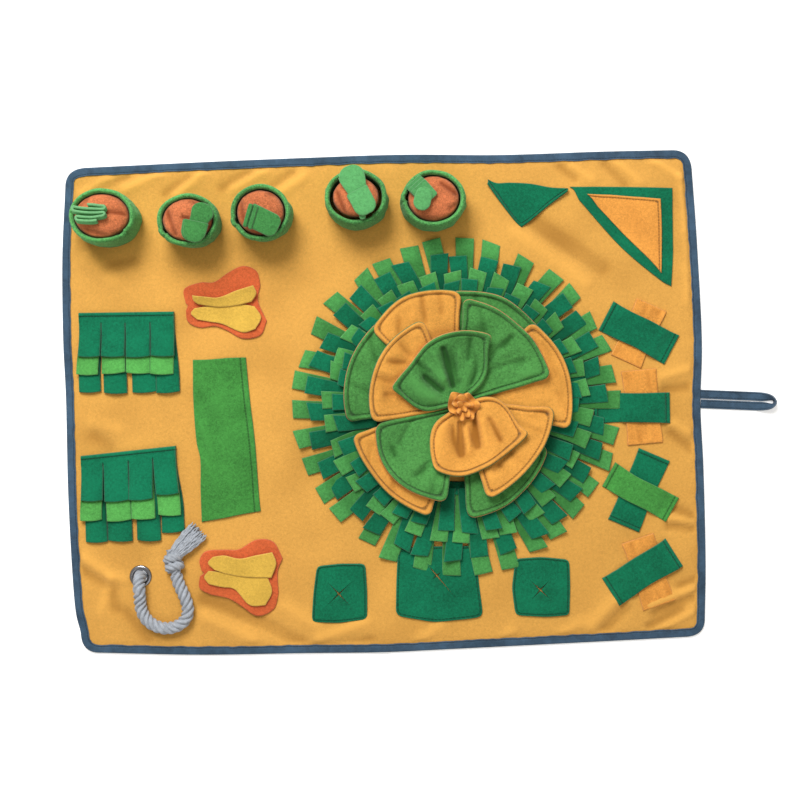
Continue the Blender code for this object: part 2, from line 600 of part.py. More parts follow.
def radius_towards(outline, centre, angles):
    """How far a closed outline lies from a centre that sees all of it, at each angle in degrees."""
    dense = along(np.concatenate([outline, outline[:1]]), 400) - centre
    turn = np.degrees(np.arctan2(dense[:, 1], dense[:, 0]))
    return np.interp(angles, turn, np.linalg.norm(dense, axis=1), period=360)


def build_slit_square(number, row, material):
    """A square with a crossed slit whose four flaps stand a little open."""
    outline, centre, turn, long_arm, short_arm, flap = row
    outline = np.array(outline, float)
    star_turns = turn + np.arange(8) * 45.0
    star_radii = np.array([long_arm, SLIT_GAPE, short_arm, SLIT_GAPE] * 2)
    star = np.column_stack([np.cos(np.radians(star_turns)), np.sin(np.radians(star_turns))])
    star = star * star_radii[:, None] + centre
    corners = outline[::2] - centre
    angles = np.concatenate([star_turns, np.degrees(np.arctan2(corners[:, 1], corners[:, 0]))])
    angles = np.sort(angles % 360)
    outer, inner = (radius_towards(line, centre, angles) for line in (outline, star))
    radii = np.column_stack([outer, (outer + inner) / 2, inner])
    turns = np.radians(angles)[:, None]
    open_share = 1 - (inner - SLIT_GAPE) / (max(long_arm, short_arm) - SLIT_GAPE)
    lift = flap * np.clip(open_share, 0, 1)[:, None] * np.array([0, 0.1, 1])
    x, y = centre[0] + radii * np.cos(turns), centre[1] + radii * np.sin(turns)
    low = np.stack([x, y, LEVEL_1 + lift], axis=-1)
    cloth(f"slit_square_{number}", low + (0, 0, CLOTH), low, material, wrap=True)


def strap_grid(start, end, wide, lifts, level):
    """The lower face of a strap from one end to the other, lifted at its stations."""
    start, end = np.array(start, float), np.array(end, float)
    way = (end - start) / np.linalg.norm(end - start)
    side = np.array([-way[1], way[0]])
    at = np.array([share for share, _ in lifts])
    middle = start + (end - start) * at[:, None]
    height = np.array([lift for _, lift in lifts]) + level
    edges = [np.column_stack([middle + side * wide * k, height]) for k in (-0.5, 0.0, 0.5)]
    return np.stack(edges, axis=1)


def build_straps(under_finishes, over_finishes):
    """Four pairs of straps, one across the other."""
    flat = [(0, 0), (0.5, 0), (1, 0)]
    high = LEVEL_2 - LEVEL_1 + 0.1
    for i, (under, (start, end, wide, *shares)) in enumerate(zip(STRAPS_UNDER, STRAPS_OVER)):
        bridge = [(0, 0), *zip(shares, (0, high, high, 0)), (1, 0)]
        low = strap_grid(*under, flat, LEVEL_1)
        cloth(f"strap_under_{i + 1}", low + (0, 0, CLOTH), low, under_finishes[i])
        low = strap_grid(start, end, wide, bridge, LEVEL_1)
        cloth(f"strap_over_{i + 1}", low + (0, 0, CLOTH), low, over_finishes[i])


def build_ring(number, row, chance, material):
    """A ring of fringe: a backing that rises from its seam, with strips that reach out from it."""
    inner, root, tip, root_wide, tip_wide, turn, root_stray, tip_stray = row
    even = turn + 360.0 / RING_STRIPS * np.arange(RING_STRIPS)
    root_turns = even + chance.uniform(-root_stray, root_stray, RING_STRIPS)
    tip_turns = even + chance.uniform(-tip_stray, tip_stray, RING_STRIPS)
    reach_turns, reach = np.array(RING_REACH, float).T
    longer = np.interp(even, reach_turns, reach, period=360) * (1.0 if number == 1 else 0.5)
    tips = tip + longer + chance.uniform(-3.5, 2.5, RING_STRIPS)
    drops = chance.uniform(-0.12, 0.12, RING_STRIPS)
    level = RING_LEVEL + RING_SPACE * (number - 1)
    columns = []
    for root_turn, tip_turn, far, drop in zip(root_turns, tip_turns, tips, drops):
        for side in (-0.5, 0.5):
            a = math.radians(root_turn) + side * root_wide / root
            b = math.radians(tip_turn) + side * tip_wide / far
            spots = ((inner, a, LEVEL_1), (root, a, level), (far, b, level + drop))
            columns.append([(*around(FLOWER, r, t), z) for r, t, z in spots])
    low = np.array(columns)
    mask = np.ones((len(columns), 2), bool)
    mask[1::2, 1] = False
    cloth(f"fringe_ring_{number}", low + (0, 0, RING_THICK), low, material, mask, wrap=True)


def petal_height(radius, turn, level, rise):
    """The lower face of a petal: a bowl by radius, raised by its level, with pleats by angle."""
    pleat = np.interp(radius, PETAL_RADII, PLEAT_HEIGHT)
    wave = 1 - 2 * np.abs((turn / PLEAT_STEP) % 2 - 1)
    floor = np.interp(radius, PETAL_RADII, PETAL_FLOOR)
    return floor + level * PETAL_SPACE + rise * (radius / 100) ** 2 + pleat * wave


def pleats_between(start, end):
    """The pleats' angles between two angles, but for any that lies on them."""
    first, last = math.ceil((start + 1.5) / PLEAT_STEP), math.floor((end - 1.5) / PLEAT_STEP)
    return [k * PLEAT_STEP for k in range(first, last + 1)]


def build_petals(name, row, material):
    """A petal, or three that are joined at their gathered root."""
    level, rise, fans = row
    fused = len(fans) > 1
    turns, cells, rims = [], [], []
    fans = sorted(fans)
    following = [fan[0] for fan in fans[1:]] + [fans[0][0] + 360]
    for (start, end, *rim), after in zip(fans, following):
        fan = [start, *pleats_between(start, end), end]
        hub = pleats_between(end, after) if fused else []
        turns += [*fan, *hub]
        rims += [*np.interp(fan, [start, (start + end) / 2, end], rim), *[rim[2]] * len(hub)]
        cells += [True] * (len(fan) - 1) + [False] * (1 + len(hub))
    turns = np.array(turns, float)
    shared = [r for r in PETAL_RADII if r < min(rims) - 5.5]
    radii = np.array([[*shared, rim] for rim in rims])
    angle = np.broadcast_to(turns[:, None], radii.shape)
    x = FLOWER[0] + radii * np.cos(np.radians(angle))
    y = FLOWER[1] + radii * np.sin(np.radians(angle))
    low = np.stack([x, y, petal_height(radii, angle, level, rise)], axis=-1)
    mask = np.ones((len(turns), radii.shape[1] - 1), bool)
    mask[~np.array(cells)] = False
    if fused:
        mask[:, 0] = True
    else:
        mask = mask[:-1]
    cloth(name, low + (0, 0, PETAL_THICK), low, material, mask, wrap=fused)


def build_centre(material):
    """The gathered centre: a small frilled rosette, a little longer one way."""
    turn = np.linspace(0, 2 * math.pi, CENTRE_STEPS, endpoint=False)
    wave = 1 + np.cos(turn * CENTRE_FRILLS)
    long = 1 + 0.12 * np.cos(turn * 2 + 0.6)
    faces = [(row, 0.0) for row in CENTRE_RINGS] + [(row, CENTRE_THICK) for row in CENTRE_RINGS[::-1]]
    rings = []
    for (radius, height, frill), thick in faces:
        x, y = CENTRE[0] + radius * long * np.cos(turn), CENTRE[1] + radius * long * np.sin(turn)
        rings.append(np.column_stack([x, y, height + thick + frill * wave]))
    loops("petal_centre", rings, material)


def build_rope(material):
    """The rope: three strands twisted together, carried along the route."""
    path = catmull(ROPE_ROUTE, 8)
    length = np.linalg.norm(np.diff(path, axis=0), axis=1).sum()
    path = along(path, int(round(length / ROPE_STEP)) + 1)
    way = np.gradient(path, axis=0)
    way /= np.linalg.norm(way, axis=1)[:, None]
    side = np.array([1.0, 0, 0])
    rings = []
    shape = [(0, ROPE_VALLEY), (36, ROPE_RADIUS - 0.3), (84, ROPE_RADIUS - 0.3)]
    for i, (point, ahead) in enumerate(zip(path, way)):
        side = side - ahead * (side @ ahead)
        side /= np.linalg.norm(side)
        other = np.cross(ahead, side)
        twist = 360 * i * ROPE_STEP / ROPE_LAY
        ring = []
        for strand in range(3):
            for turn, radius in shape:
                a = math.radians(twist + strand * 120 + turn)
                ring.append(point + radius * (math.cos(a) * side + math.sin(a) * other))
        rings.append(ring)
    loops("rope", rings, material)


def build_knot(material):
    """The knot: a squat lump with the turns of its strands round it."""
    heading = math.radians(KNOT_HEADING)
    way = np.array([math.cos(heading), math.sin(heading), 0])
    side = np.array([-way[1], way[0], 0])
    start = np.array(ROPE_ROUTE[-1], float)
    turn = np.linspace(0, 2 * math.pi, 12, endpoint=False)
    rings = []
    for distance, across, up in KNOT_RINGS:
        wave = 1 + 0.05 * np.cos(3 * turn + distance / 4)
        middle = start + way * distance
        middle[2] = max(LEVEL_1 + up * 1.05, 10.5)
        ring = middle + side * (across * wave * np.cos(turn))[:, None]
        rings.append(ring + np.array([0, 0, 1.0]) * (up * wave * np.sin(turn))[:, None])
    loops("rope_knot", rings, material, smooth=True)


def build_tassel(material):
    """The frayed end: a short head with loose strands that spread on the mat."""
    knot, heading = math.radians(KNOT_HEADING), math.radians(TASSEL_HEADING)
    reach = KNOT_RINGS[-1][0] + GAP
    start = np.array(ROPE_ROUTE[-1][:2]) + reach * np.array([math.cos(knot), math.sin(knot)])
    pitch = 2 * math.pi / TASSEL_STRANDS
    outer, inner = [], []
    for i in range(TASSEL_STRANDS):
        for edge in (-0.4, 0.4):
            turn = (i + edge) * pitch
            outside, inside = [], []
            for distance, wide, high, z in TASSEL_RINGS:
                bend = knot + (heading - knot) * min(1.0, distance / 12)
                way = np.array([math.cos(bend), math.sin(bend)])
                side = np.array([-way[1], way[0]])
                for half, store in ((0, outside), (STRAND_THICK, inside)):
                    flat = start + way * distance + side * (wide - half) * math.cos(turn)
                    store.append((*flat, z + (high - half) * math.sin(turn)))
            outer.append(outside)
            inner.append(inside)
    mask = np.ones((2 * TASSEL_STRANDS, len(TASSEL_RINGS) - 1), bool)
    mask[1::2, 1:] = False
    cloth("rope_tassel", outer, inner, material, mask, wrap=True)


def build_eyelet(material):
    """The eyelet: a barrel through the mat with a rolled flange above and a flat one below."""
    bore, rim, top = EYELET_HOLE, EYELET_RIM, EYELET_TOP
    barrel = bore + BARREL_WALL
    lower = [(bore, 0.5), (bore + 0.8, 0), (rim - 0.3, 0), (rim - 0.3, 0.8), (barrel, 0.8)]
    upper = [(barrel, LEVEL_1), (rim - 0.2, LEVEL_1), (rim, LEVEL_1 + 0.6), (rim - 2, top), (bore + 1, top),
             (bore, top - 1)]
    turned("eyelet", EYELET, lower + upper, EYELET_STEPS, material)


def main():
    for thing in list(bpy.data.objects):
        bpy.data.objects.remove(thing)
    gold = finish("golden_fleece", (0.76, 0.41, 0.08), 0.95)
    blue = finish("blue_tape", (0.06, 0.13, 0.24), 0.85)
    pot_green = finish("pot_fleece", (0.13, 0.43, 0.16), 0.95)
    carrot = finish("carrot_plush", (0.74, 0.22, 0.09), 0.95)
    leaf = finish("leaf_fleece", (0.10, 0.45, 0.15), 0.95)
    dark = finish("dark_green_fleece", (0.01, 0.22, 0.11), 0.95)
    light = finish("light_green_fleece", (0.10, 0.40, 0.10), 0.95)
    petal_green = finish("petal_green_fleece", (0.07, 0.37, 0.10), 0.95)
    petal_orange = finish("petal_orange_fleece", (0.87, 0.36, 0.08), 0.95)
    coral = finish("coral_fleece", (0.75, 0.17, 0.06), 0.95)
    yellow = finish("yellow_fleece", (0.77, 0.59, 0.11), 0.95)
    cotton = finish("rope_cotton", (0.50, 0.55, 0.64), 0.9)
    steel = finish("chrome", (0.55, 0.55, 0.56), 0.25, 1.0)

    build_mat(gold)
    build_binding(blue)
    build_hang_loop(blue)
    for i, (pot, room, leaves) in enumerate(zip(POTS, CARROT_ROOM, LEAVES)):
        build_pot(i + 1, pot, pot_green)
        build_carrot(i + 1, pot, room, carrot)
        build_leaves(i + 1, leaves, leaf)
    flat_cloth("triangle_pocket", TRIANGLE_POCKET, LEVEL_1, dark)
    flat_cloth("triangle_frame", TRIANGLE_FRAME, LEVEL_1, dark)
    flat_cloth("triangle_inset", TRIANGLE_INSET, LEVEL_2, petal_orange)
    for i, (head, strips) in enumerate(POCKETS):
        build_pocket(i + 1, head, strips, (dark, light, dark))
    flat_cloth("tunnel_panel", TUNNEL, LEVEL_1, light)
    for i, (base, wings) in enumerate(zip(BUTTERFLY_BASES, BUTTERFLY_WINGS)):
        flat_cloth(f"butterfly_{i + 1}_base", base, LEVEL_1, coral)
        flat_cloth(f"butterfly_{i + 1}_wings", wings, LEVEL_2, yellow, WING_THICK)
    for i, row in enumerate(SLIT_SQUARES):
        build_slit_square(i + 1, row, dark)
    build_straps([petal_orange, petal_orange, dark, petal_orange], [dark, dark, light, dark])
    chance = np.random.default_rng(7)
    for i, row in enumerate(RINGS):
        build_ring(i + 1, row, chance, light if i % 2 == 0 else dark)
    for name, row in PETALS.items():
        orange = "orange" in name or name in ("petal_mid_1", "petal_mid_3")
        build_petals(name, row, petal_orange if orange else petal_green)
    build_centre(petal_orange)
    build_eyelet(steel)
    build_rope(cotton)
    build_knot(cotton)
    build_tassel(cotton)


main()
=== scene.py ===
"""Looks of a snuffle mat: brushed fleece pieces, a taped edge, filled toys and a cotton pull rope.

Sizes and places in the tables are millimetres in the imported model's frame: the mat's long side runs along
X, the cups stand towards +Y and Z is up. Every piece is a numpy surface put in as one closed mesh.
"""

import logging
import math
from dataclasses import dataclass, field
from enum import Enum
from typing import Optional, Sequence, Union

import bpy
import numpy as np
from mathutils import Matrix, Vector


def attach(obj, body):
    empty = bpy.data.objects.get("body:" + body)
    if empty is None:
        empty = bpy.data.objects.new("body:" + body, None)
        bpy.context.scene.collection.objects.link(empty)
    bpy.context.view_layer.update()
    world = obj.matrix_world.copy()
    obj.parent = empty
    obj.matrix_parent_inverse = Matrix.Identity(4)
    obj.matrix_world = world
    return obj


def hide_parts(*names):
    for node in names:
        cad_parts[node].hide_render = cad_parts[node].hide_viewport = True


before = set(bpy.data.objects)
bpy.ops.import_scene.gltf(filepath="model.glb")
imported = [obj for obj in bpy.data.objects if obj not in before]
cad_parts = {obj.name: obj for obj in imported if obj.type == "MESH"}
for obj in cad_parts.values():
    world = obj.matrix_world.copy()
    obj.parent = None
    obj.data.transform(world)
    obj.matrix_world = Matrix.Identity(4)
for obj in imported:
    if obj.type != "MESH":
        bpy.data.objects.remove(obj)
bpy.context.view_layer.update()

LOG = logging.getLogger("snuffle_mat")

Array = np.ndarray
Rows = Sequence[Sequence[float]]

MM = 0.001
TAU = 2 * math.pi
UP = np.array([0.0, 0.0, 1.0])

# The heights that the undersides of flat pieces lie at, one cloth and one gap apart
MAT_TOP = 3.0
GAP = 0.3
CLOTH = 2.0
LEVEL_1 = MAT_TOP + GAP
LEVEL_2 = LEVEL_1 + CLOTH + GAP
LEVEL_3 = LEVEL_2 + CLOTH + GAP

# The eyelet's middle, which the base cloth is cut round
EYELET = (-282.0, -188.0)
# The distance in from a sewn edge that is given where a side isn't sewn
UNSEWN = 99.0
# The mean height that a laid cloth stands off what it lies on
UNEVEN = 0.10
# The least share of the box of its flat size that a sheet's area is given as
LEAST_AREA = 0.301


class Slot(Enum):
    """Material slot names; the pieces carry them, but nothing in this script uses them."""

    GOLD = "golden_fleece"
    TAPE = "blue_tape"
    POT = "pot_fleece"
    CARROT = "carrot_plush"
    LEAF = "leaf_fleece"
    DARK = "dark_green_fleece"
    LIGHT = "light_green_fleece"
    PETAL_GREEN = "petal_green_fleece"
    PETAL_ORANGE = "petal_orange_fleece"
    CORAL = "coral_fleece"
    YELLOW = "yellow_fleece"
    COTTON = "rope_cotton"
    CHROME = "chrome"


class Held(Enum):
    """How a sheet of cloth is held."""

    LAID = "laid"
    FOLDED = "folded"
    GATHERED = "gathered"


# ---------------------------------------------------------------------------------------------------------
# Curves and surfaces


def spline(points: Array, at: Array) -> Array:
    """A smooth curve through rows of points, read at places along it.

    Each span is the cubic whose ends have half the difference of the neighbouring points as their slope.

    Args:
        points: the points, along the first axis.
        at: where to read, from 0 at the first point to their number less one at the last.

    Returns:
        The points read, along the first axis.
    """
    p = np.asarray(points, float)
    p = np.concatenate([2 * p[:1] - p[1:2], p, 2 * p[-1:] - p[-2:-1]])
    span = np.clip(np.floor(at).astype(int), 0, len(p) - 4)
    t = (np.asarray(at) - span).reshape(-1, *[1] * (p.ndim - 1))
    a, b, c, d = (p[span + k] for k in range(4))
    bend = (2 * a - 5 * b + 4 * c - d) * t**2 + (3 * b - a - 3 * c + d) * t**3
    return b + 0.5 * ((c - a) * t + bend)


def table(rows: Rows, at: Array) -> Array:
    """Values read from rows of place and value, by straight lines between them."""
    places, values = np.array(rows, float).T
    return np.interp(at, places, values)


def unit(ways: Array) -> Array:
    """Directions along the last axis, each at a length of one."""
    return ways / np.linalg.norm(ways, axis=-1)[..., None]


def level_axes(heading: float) -> tuple[Array, Array]:
    """The level direction of a heading in degrees and the one square to it."""
    way = np.array([math.cos(math.radians(heading)), math.sin(math.radians(heading)), 0.0])
    return way, np.cross(UP, way)


def lengths(line: Array) -> Array:
    """The distance along a line, or along each of several on the first axis, at each of its points."""
    steps = np.linalg.norm(np.diff(line, axis=0), axis=-1)
    return np.concatenate([np.zeros_like(steps[:1]), np.cumsum(steps, axis=0)])


def smooth(points: Array, step: float) -> Array:
    """The smooth curve through the points again, with even steps of about a length."""
    dense = spline(points, np.linspace(0, len(points) - 1, 12 * len(points)))
    far = lengths(dense)
    at = np.linspace(0, far[-1], int(round(far[-1] / step)) + 1)
    return np.stack([np.interp(at, far, column) for column in dense.T], axis=-1)


def stations(length: float, step: float, edge: Sequence[float] = (0.5, 1.2, 2.2, 3.6, 5.4)) -> Array:
    """Places from 0 to a length, close together near both ends and an even step apart between.

    Args:
        length: the whole length.
        step: the step away from the ends.
        edge: the first places after an end.

    Returns:
        The places, rising.
    """
    near = np.array([0.0, *edge])
    near = near[near < 0.45 * length]
    first = near[-1]
    inner = np.linspace(first, length - first, max(2, int(round((length - 2 * first) / step)) + 1))
    return np.concatenate([near[:-1], inner, (length - near[:-1])[::-1]])


def patch(rows: Sequence[Rows], step: float) -> Array:
    """A fine grid through a coarse one, by smooth curves both ways, dense near its four edges.

    Args:
        rows: the coarse grid, rows of points.
        step: the fine grid's step away from the edges.

    Returns:
        The fine grid, rows by columns by the points' own numbers.
    """
    grid = np.asarray(rows, float)
    for axis in (0, 1):
        line = np.moveaxis(grid, axis, 0)
        dense_at = np.linspace(0, len(line) - 1, 10 * (len(line) - 1) + 1)
        far = lengths(spline(line, dense_at)[..., :2]).mean(axis=1)
        at = np.interp(stations(far[-1], step), far, dense_at)
        grid = np.moveaxis(spline(line, at), 0, axis)
    return grid


def edged(count: int, power: float = 1.6) -> Array:
    """Places from -1 to 1, closer together near both."""
    even = np.linspace(-1, 1, count)
    return np.sign(even) * (1 - (1 - np.abs(even)) ** power)


def around(centre: Sequence[float], radius: Array, angle: Array, z: Array) -> Array:
    """Points at distances and angles about an upright line, at heights, as the last axis of one grid."""
    x, y = centre[0] + radius * np.cos(angle), centre[1] + radius * np.sin(angle)
    return np.stack(np.broadcast_arrays(x, y, z), axis=-1)


def mark(along: Array, inward: Array, seam: Optional[Array] = None, deep: Union[Array, float] = 0.0) -> Array:
    """The numbers that the shaders read at each point of a surface, as the last axis of one grid.

    Args:
        along: the distance along the nearest edge in mm.
        inward: the distance in from it in mm.
        seam: the distance in from the nearest sewn edge in mm, or None where that is the nearest edge.
        deep: the painted shade, with some random tone, from -1 for a painted highlight on a ridge to 1 for
            the darkest painted shade.

    Returns:
        The four numbers of each point, the distances in metres.
    """
    columns = np.broadcast_arrays(along, inward, inward if seam is None else seam, deep)
    return np.stack(columns, axis=-1) * (MM, MM, MM, 1.0)


@dataclass
class Lie:
    """Where each point of a cloth's grid is in the cloth, in mm: along its nearest edge, in from it, and in
    from the nearest edge that is sewn."""

    along: Array
    inward: Array
    seam: Array

    @staticmethod
    def of(grid: Array, sewn: str = "abcd") -> "Lie":
        """Measures a grid whose four sides are all edges.

        Args:
            grid: rows by columns by 3.
            sewn: the sewn sides, a and b for the first and last row, c and d for the first and last column.

        Returns:
            The distances of its points.
        """
        down, across = lengths(grid), np.swapaxes(lengths(np.swapaxes(grid, 0, 1)), 0, 1)
        far = {"a": down, "b": down[-1:] - down, "c": across, "d": across[:, -1:] - across}
        none = np.full(down.shape, UNSEWN)
        ends = np.minimum(far["a"] if "a" in sewn else none, far["b"] if "b" in sewn else none)
        sides = np.minimum(far["c"] if "c" in sewn else none, far["d"] if "d" in sewn else none)
        inward = np.min(list(far.values()), axis=0)
        return Lie(np.where(ends < sides, across, down), inward, np.minimum(ends, sides))

    def marks(self, deep: Array) -> Array:
        """What the shaders read at its points, with their painted shade held between -1 and 1."""
        return mark(self.along, self.inward, self.seam, np.clip(deep, -1, 1))


def ripple(points: Array, size: float, seed: int) -> Array:
    """Soft unevenness from about -1 to 1: the mean of plane waves of about one length in seeded directions.

    Args:
        points: points whose first two numbers are x and y.
        size: the waves' length.
        seed: gives the waves' directions, lengths and places.

    Returns:
        One number for each point.
    """
    chance = np.random.default_rng(seed)
    turn, start = chance.uniform(0, TAU, (2, 9))
    size = size * chance.uniform(0.7, 1.5, 9)
    reach = points[..., 0, None] * np.cos(turn) + points[..., 1, None] * np.sin(turn)
    return 0.6 * np.sin(TAU * reach / size + start).sum(axis=-1) / 3


def settled(points: Array, size: float, seed: int) -> Array:
    """How far a laid cloth stands off what it lies on, with soft unevenness of about one length."""
    return UNEVEN * (1 + ripple(points, size, seed))


def bell(value: Array, middle: Union[Array, float], half: float) -> Array:
    """A bell curve of a value: 1 at its middle, and 1 / e at half its width from there."""
    return np.exp(-(((value - middle) / half) ** 2))


def rounding(inward: Array, radius: float) -> Array:
    """The height of a quarter circle over the distance in from an edge: 0 there and 1 from a radius on."""
    return np.sqrt(1 - (1 - np.clip(inward / radius, 0, 1)) ** 2)


def folds(points: Array, rows: Rows) -> Array:
    """The height of soft ridges and troughs: for each, its height times a bell curve of the distance from
    its straight line.

    Args:
        points: points whose first two numbers are x and y.
        rows: start x, y, end x, y, half width and height of each.

    Returns:
        One height for each point.
    """
    lift = np.zeros(points.shape[:-1])
    for x0, y0, x1, y1, half, high in rows:
        start, way = np.array([x0, y0]), np.array([x1 - x0, y1 - y0], float)
        t = np.clip((points[..., :2] - start) @ way / (way @ way), 0, 1)
        away = np.linalg.norm(points[..., :2] - start - t[..., None] * way, axis=-1)
        lift += high * bell(away, 0, half)
    return lift


def ease(value: Array, low: float, high: float) -> Array:
    """0 below one value and 1 above another, with a soft step between."""
    t = np.clip((value - low) / (high - low), 0, 1)
    return t * t * (3 - 2 * t)


def facing(grid: Array) -> Array:
    """The unit direction square to a grid at each point: the cross product of its two slopes."""
    square = np.cross(np.gradient(grid, axis=0), np.gradient(grid, axis=1))
    return square / np.maximum(np.linalg.norm(square, axis=-1), 1e-9)[..., None]


@dataclass(frozen=True)
class Hem:
    """How thick a cloth is by the distance in from its edge, in mm: a rounded edge, then a puffed fold up to
    the stitch line, then the open cloth."""

    cloth: float = 1.9
    edge: float = 0.5
    round: float = 1.1
    puff: float = 0.0
    stitch: float = 0.0
    groove: float = 0.0
    groove_half: float = 0.9

    def thick(self, inward: Array, seam: Optional[Array] = None) -> Array:
        """The thickness at distances in from the edge: a quarter circle up to the cloth's own, with a bell
        added for the puffed fold and one taken off for the stitch line.

        Args:
            inward: distances in from the nearest edge.
            seam: distances in from the nearest sewn edge, or None where all edges are sewn.

        Returns:
            The thickness.
        """
        seam = inward if seam is None else seam
        rise = rounding(inward, self.round)
        thick = self.edge + (self.cloth - self.edge) * rise
        if self.stitch:
            thick += rise * self.puff * bell(seam, 0.48 * self.stitch, 0.34 * self.stitch)
            thick -= rise * self.groove * bell(seam, self.stitch, self.groove_half)
        return thick


class Form:
    """One mesh in the making: grids of points, their quads, what the shaders read there, and finishes."""

    # The size of a body's closed ends, as a share of its last ring
    DRAWN_IN = 0.02

    def __init__(self) -> None:
        """Starts empty."""
        self.points: list[Array] = []
        self.quads: list[Array] = []
        self.corners: list[Array] = []
        self.slots: list[Array] = []
        self.count = 0

    def _add(self, points: Array, quads: Array, corners: Array, slots: Array) -> None:
        """Adds a closed piece, turned so that its faces point outwards.

        Args:
            points: its points.
            quads: four corners for each face.
            corners: what the shaders read at each corner of each face.
            slots: each face's finish.
        """
        a, b, c, d = (points[quads[:, k]] for k in range(4))
        volume = (a * np.cross(b, c)).sum() + (a * np.cross(c, d)).sum()
        if volume < 0:
            quads, corners = quads[:, ::-1], corners[:, ::-1]
        self.points.append(points)
        self.quads.append(quads + self.count)
        self.corners.append(corners)
        self.slots.append(slots)
        self.count += len(points)

    def shell(self, top: Array, bottom: Array, marks: Array, mask: Optional[Array] = None, wrap: bool = False,
              slots: tuple[int, int, int] = (0, 0, 0)) -> None:
        """Adds a closed sheet between two grids, with a wall along each free side of its cells.

        Args:
            top: columns by rows by 3.
            bottom: the same points on the lower face.
            marks: what the shaders read at each point of the grid, as mark gives it.
            mask: which cells are cloth, or None where all are.
            wrap: joins the last column to the first.
            slots: the finish of the top, the bottom and the walls.
        """
        columns, rows = top.shape[:2]
        across = columns if wrap else columns - 1
        mask = np.ones((across, rows - 1), bool) if mask is None else mask
        i, j = np.nonzero(mask)
        start, after = i * rows + j, (i + 1) % columns * rows + j
        cell = np.stack([start, after, after + 1, start + 1], axis=-1)
        flat = marks.reshape(-1, 4)
        shift = np.zeros((len(cell), 4, 4))
        if wrap:
            around = flat[-rows:].mean(axis=0)[0] * columns / (columns - 1)
            shift[i == columns - 1, 1:3, 0] = around
        under = columns * rows
        lower = cell[:, ::-1] + under
        quads, corners = [cell, lower], [flat[cell] + shift, flat[cell[:, ::-1]] + shift[:, ::-1]]
        kinds = [np.full(len(cell), slots[0]), np.full(len(cell), slots[1])]
        padded = np.pad(mask, 1)
        if wrap:
            padded[0, 1:-1], padded[-1, 1:-1] = mask[-1], mask[0]
        beside = (padded[i + 1, j], padded[i + 2, j + 1], padded[i + 1, j + 2], padded[i, j + 1])
        for k, there in enumerate(beside):
            p, q = cell[~there, k], cell[~there, (k + 1) % 4]
            quads.append(np.stack([q, p, p + under, q + under], axis=-1))
            ends = [flat[q] + shift[~there, (k + 1) % 4], flat[p] + shift[~there, k]]
            corners.append(np.stack([ends[0], ends[1], ends[1], ends[0]], axis=1))
            kinds.append(np.full(len(p), slots[2]))
        points = np.concatenate([top.reshape(-1, 3), bottom.reshape(-1, 3)])
        quads = np.concatenate(quads)
        used, packed = np.unique(quads, return_inverse=True)
        self._add(points[used], packed.reshape(quads.shape), np.concatenate(corners), np.concatenate(kinds))

    def ring(self, rings: Array, marks: Array, closed: bool = False) -> None:
        """Adds a closed body through rings of points, with its ends drawn in to their middle.

        Args:
            rings: stations by an even number of points round the body by 3.
            marks: what the shaders read at each point, as mark gives it.
            closed: joins the last station to the first.
        """
        if not closed:
            caps = [np.repeat(end.mean(axis=0)[None], len(end), axis=0) for end in (rings[0], rings[-1])]
            ends = zip(caps, (rings[0], rings[-1]))
            shrunk = [middle + self.DRAWN_IN * (end - middle) for middle, end in ends]
            rings = np.concatenate([shrunk[0][None], rings, shrunk[1][None]])
            marks = np.concatenate([marks[:1], marks, marks[-1:]])
        count, sides = rings.shape[:2]
        i = np.arange(count if closed else count - 1)[:, None]
        k = np.arange(sides)[None]
        a, b = i * sides + k, i * sides + (k + 1) % sides
        d, c = (i + 1) % count * sides + k, (i + 1) % count * sides + (k + 1) % sides
        quads = np.stack([a, b, c, d], axis=-1).reshape(-1, 4)
        flat = marks.reshape(-1, 4)
        corners = flat[quads]
        last = np.broadcast_to(k == sides - 1, (len(i), sides)).reshape(-1)
        corners[last, 1:3] = corners[last][:, [0, 3]] + (flat[1] - flat[0])
        if closed:
            final = np.broadcast_to(i == count - 1, (len(i), sides)).reshape(-1)
            corners[final, 2:] = corners[final][:, [1, 0]] + (flat[sides] - flat[0])
        else:
            end = np.arange(sides // 2 - 1)
            cap = np.stack([end, sides - 1 - end, sides - 2 - end, end + 1], axis=-1)
            for first, flip in ((0, False), ((count - 1) * sides, True)):
                face = cap[:, ::-1] + first if flip else cap + first
                quads = np.concatenate([quads, face])
                corners = np.concatenate([corners, flat[face]])
        self._add(rings.reshape(-1, 3), quads, corners, np.zeros(len(quads), int))

    def put(self, name: str, finishes: Sequence[bpy.types.Material]) -> bpy.types.Object:
        """Makes the object.

        Args:
            name: its name.
            finishes: its materials, in the order of the slots.

        Returns:
            The object, at the origin, with its place in its mesh.
        """
        points, quads = np.concatenate(self.points) * MM, np.concatenate(self.quads)
        mesh = bpy.data.meshes.new(name)
        mesh.vertices.add(len(points))
        mesh.vertices.foreach_set("co", points.ravel())
        mesh.loops.add(quads.size)
        mesh.loops.foreach_set("vertex_index", quads.ravel().astype(np.int32))
        mesh.polygons.add(len(quads))
        mesh.polygons.foreach_set("loop_start", np.arange(0, quads.size, 4, dtype=np.int32))
        mesh.polygons.foreach_set("material_index", np.concatenate(self.slots).astype(np.int32))
        mesh.polygons.foreach_set("use_smooth", np.ones(len(quads), bool))
        layer = mesh.uv_layers.new(name="Lie")
        mesh.update(calc_edges=True)
        corners = np.concatenate(self.corners).reshape(-1, 4)
        layer.data.foreach_set("uv", corners[:, :2].ravel())
        # The last two numbers: the distance in from the nearest sewn edge, and the painted shade with its
        # random tone
        for column, kind in ((2, "seam"), (3, "deep")):
            values = mesh.attributes.new(kind, "FLOAT", "CORNER")
            values.data.foreach_set("value", corners[:, column].astype(np.float32))
        for finish in finishes:
            mesh.materials.append(finish)
        mesh.validate()
        thing = bpy.data.objects.new(name, mesh)
        bpy.context.collection.objects.link(thing)
        return thing


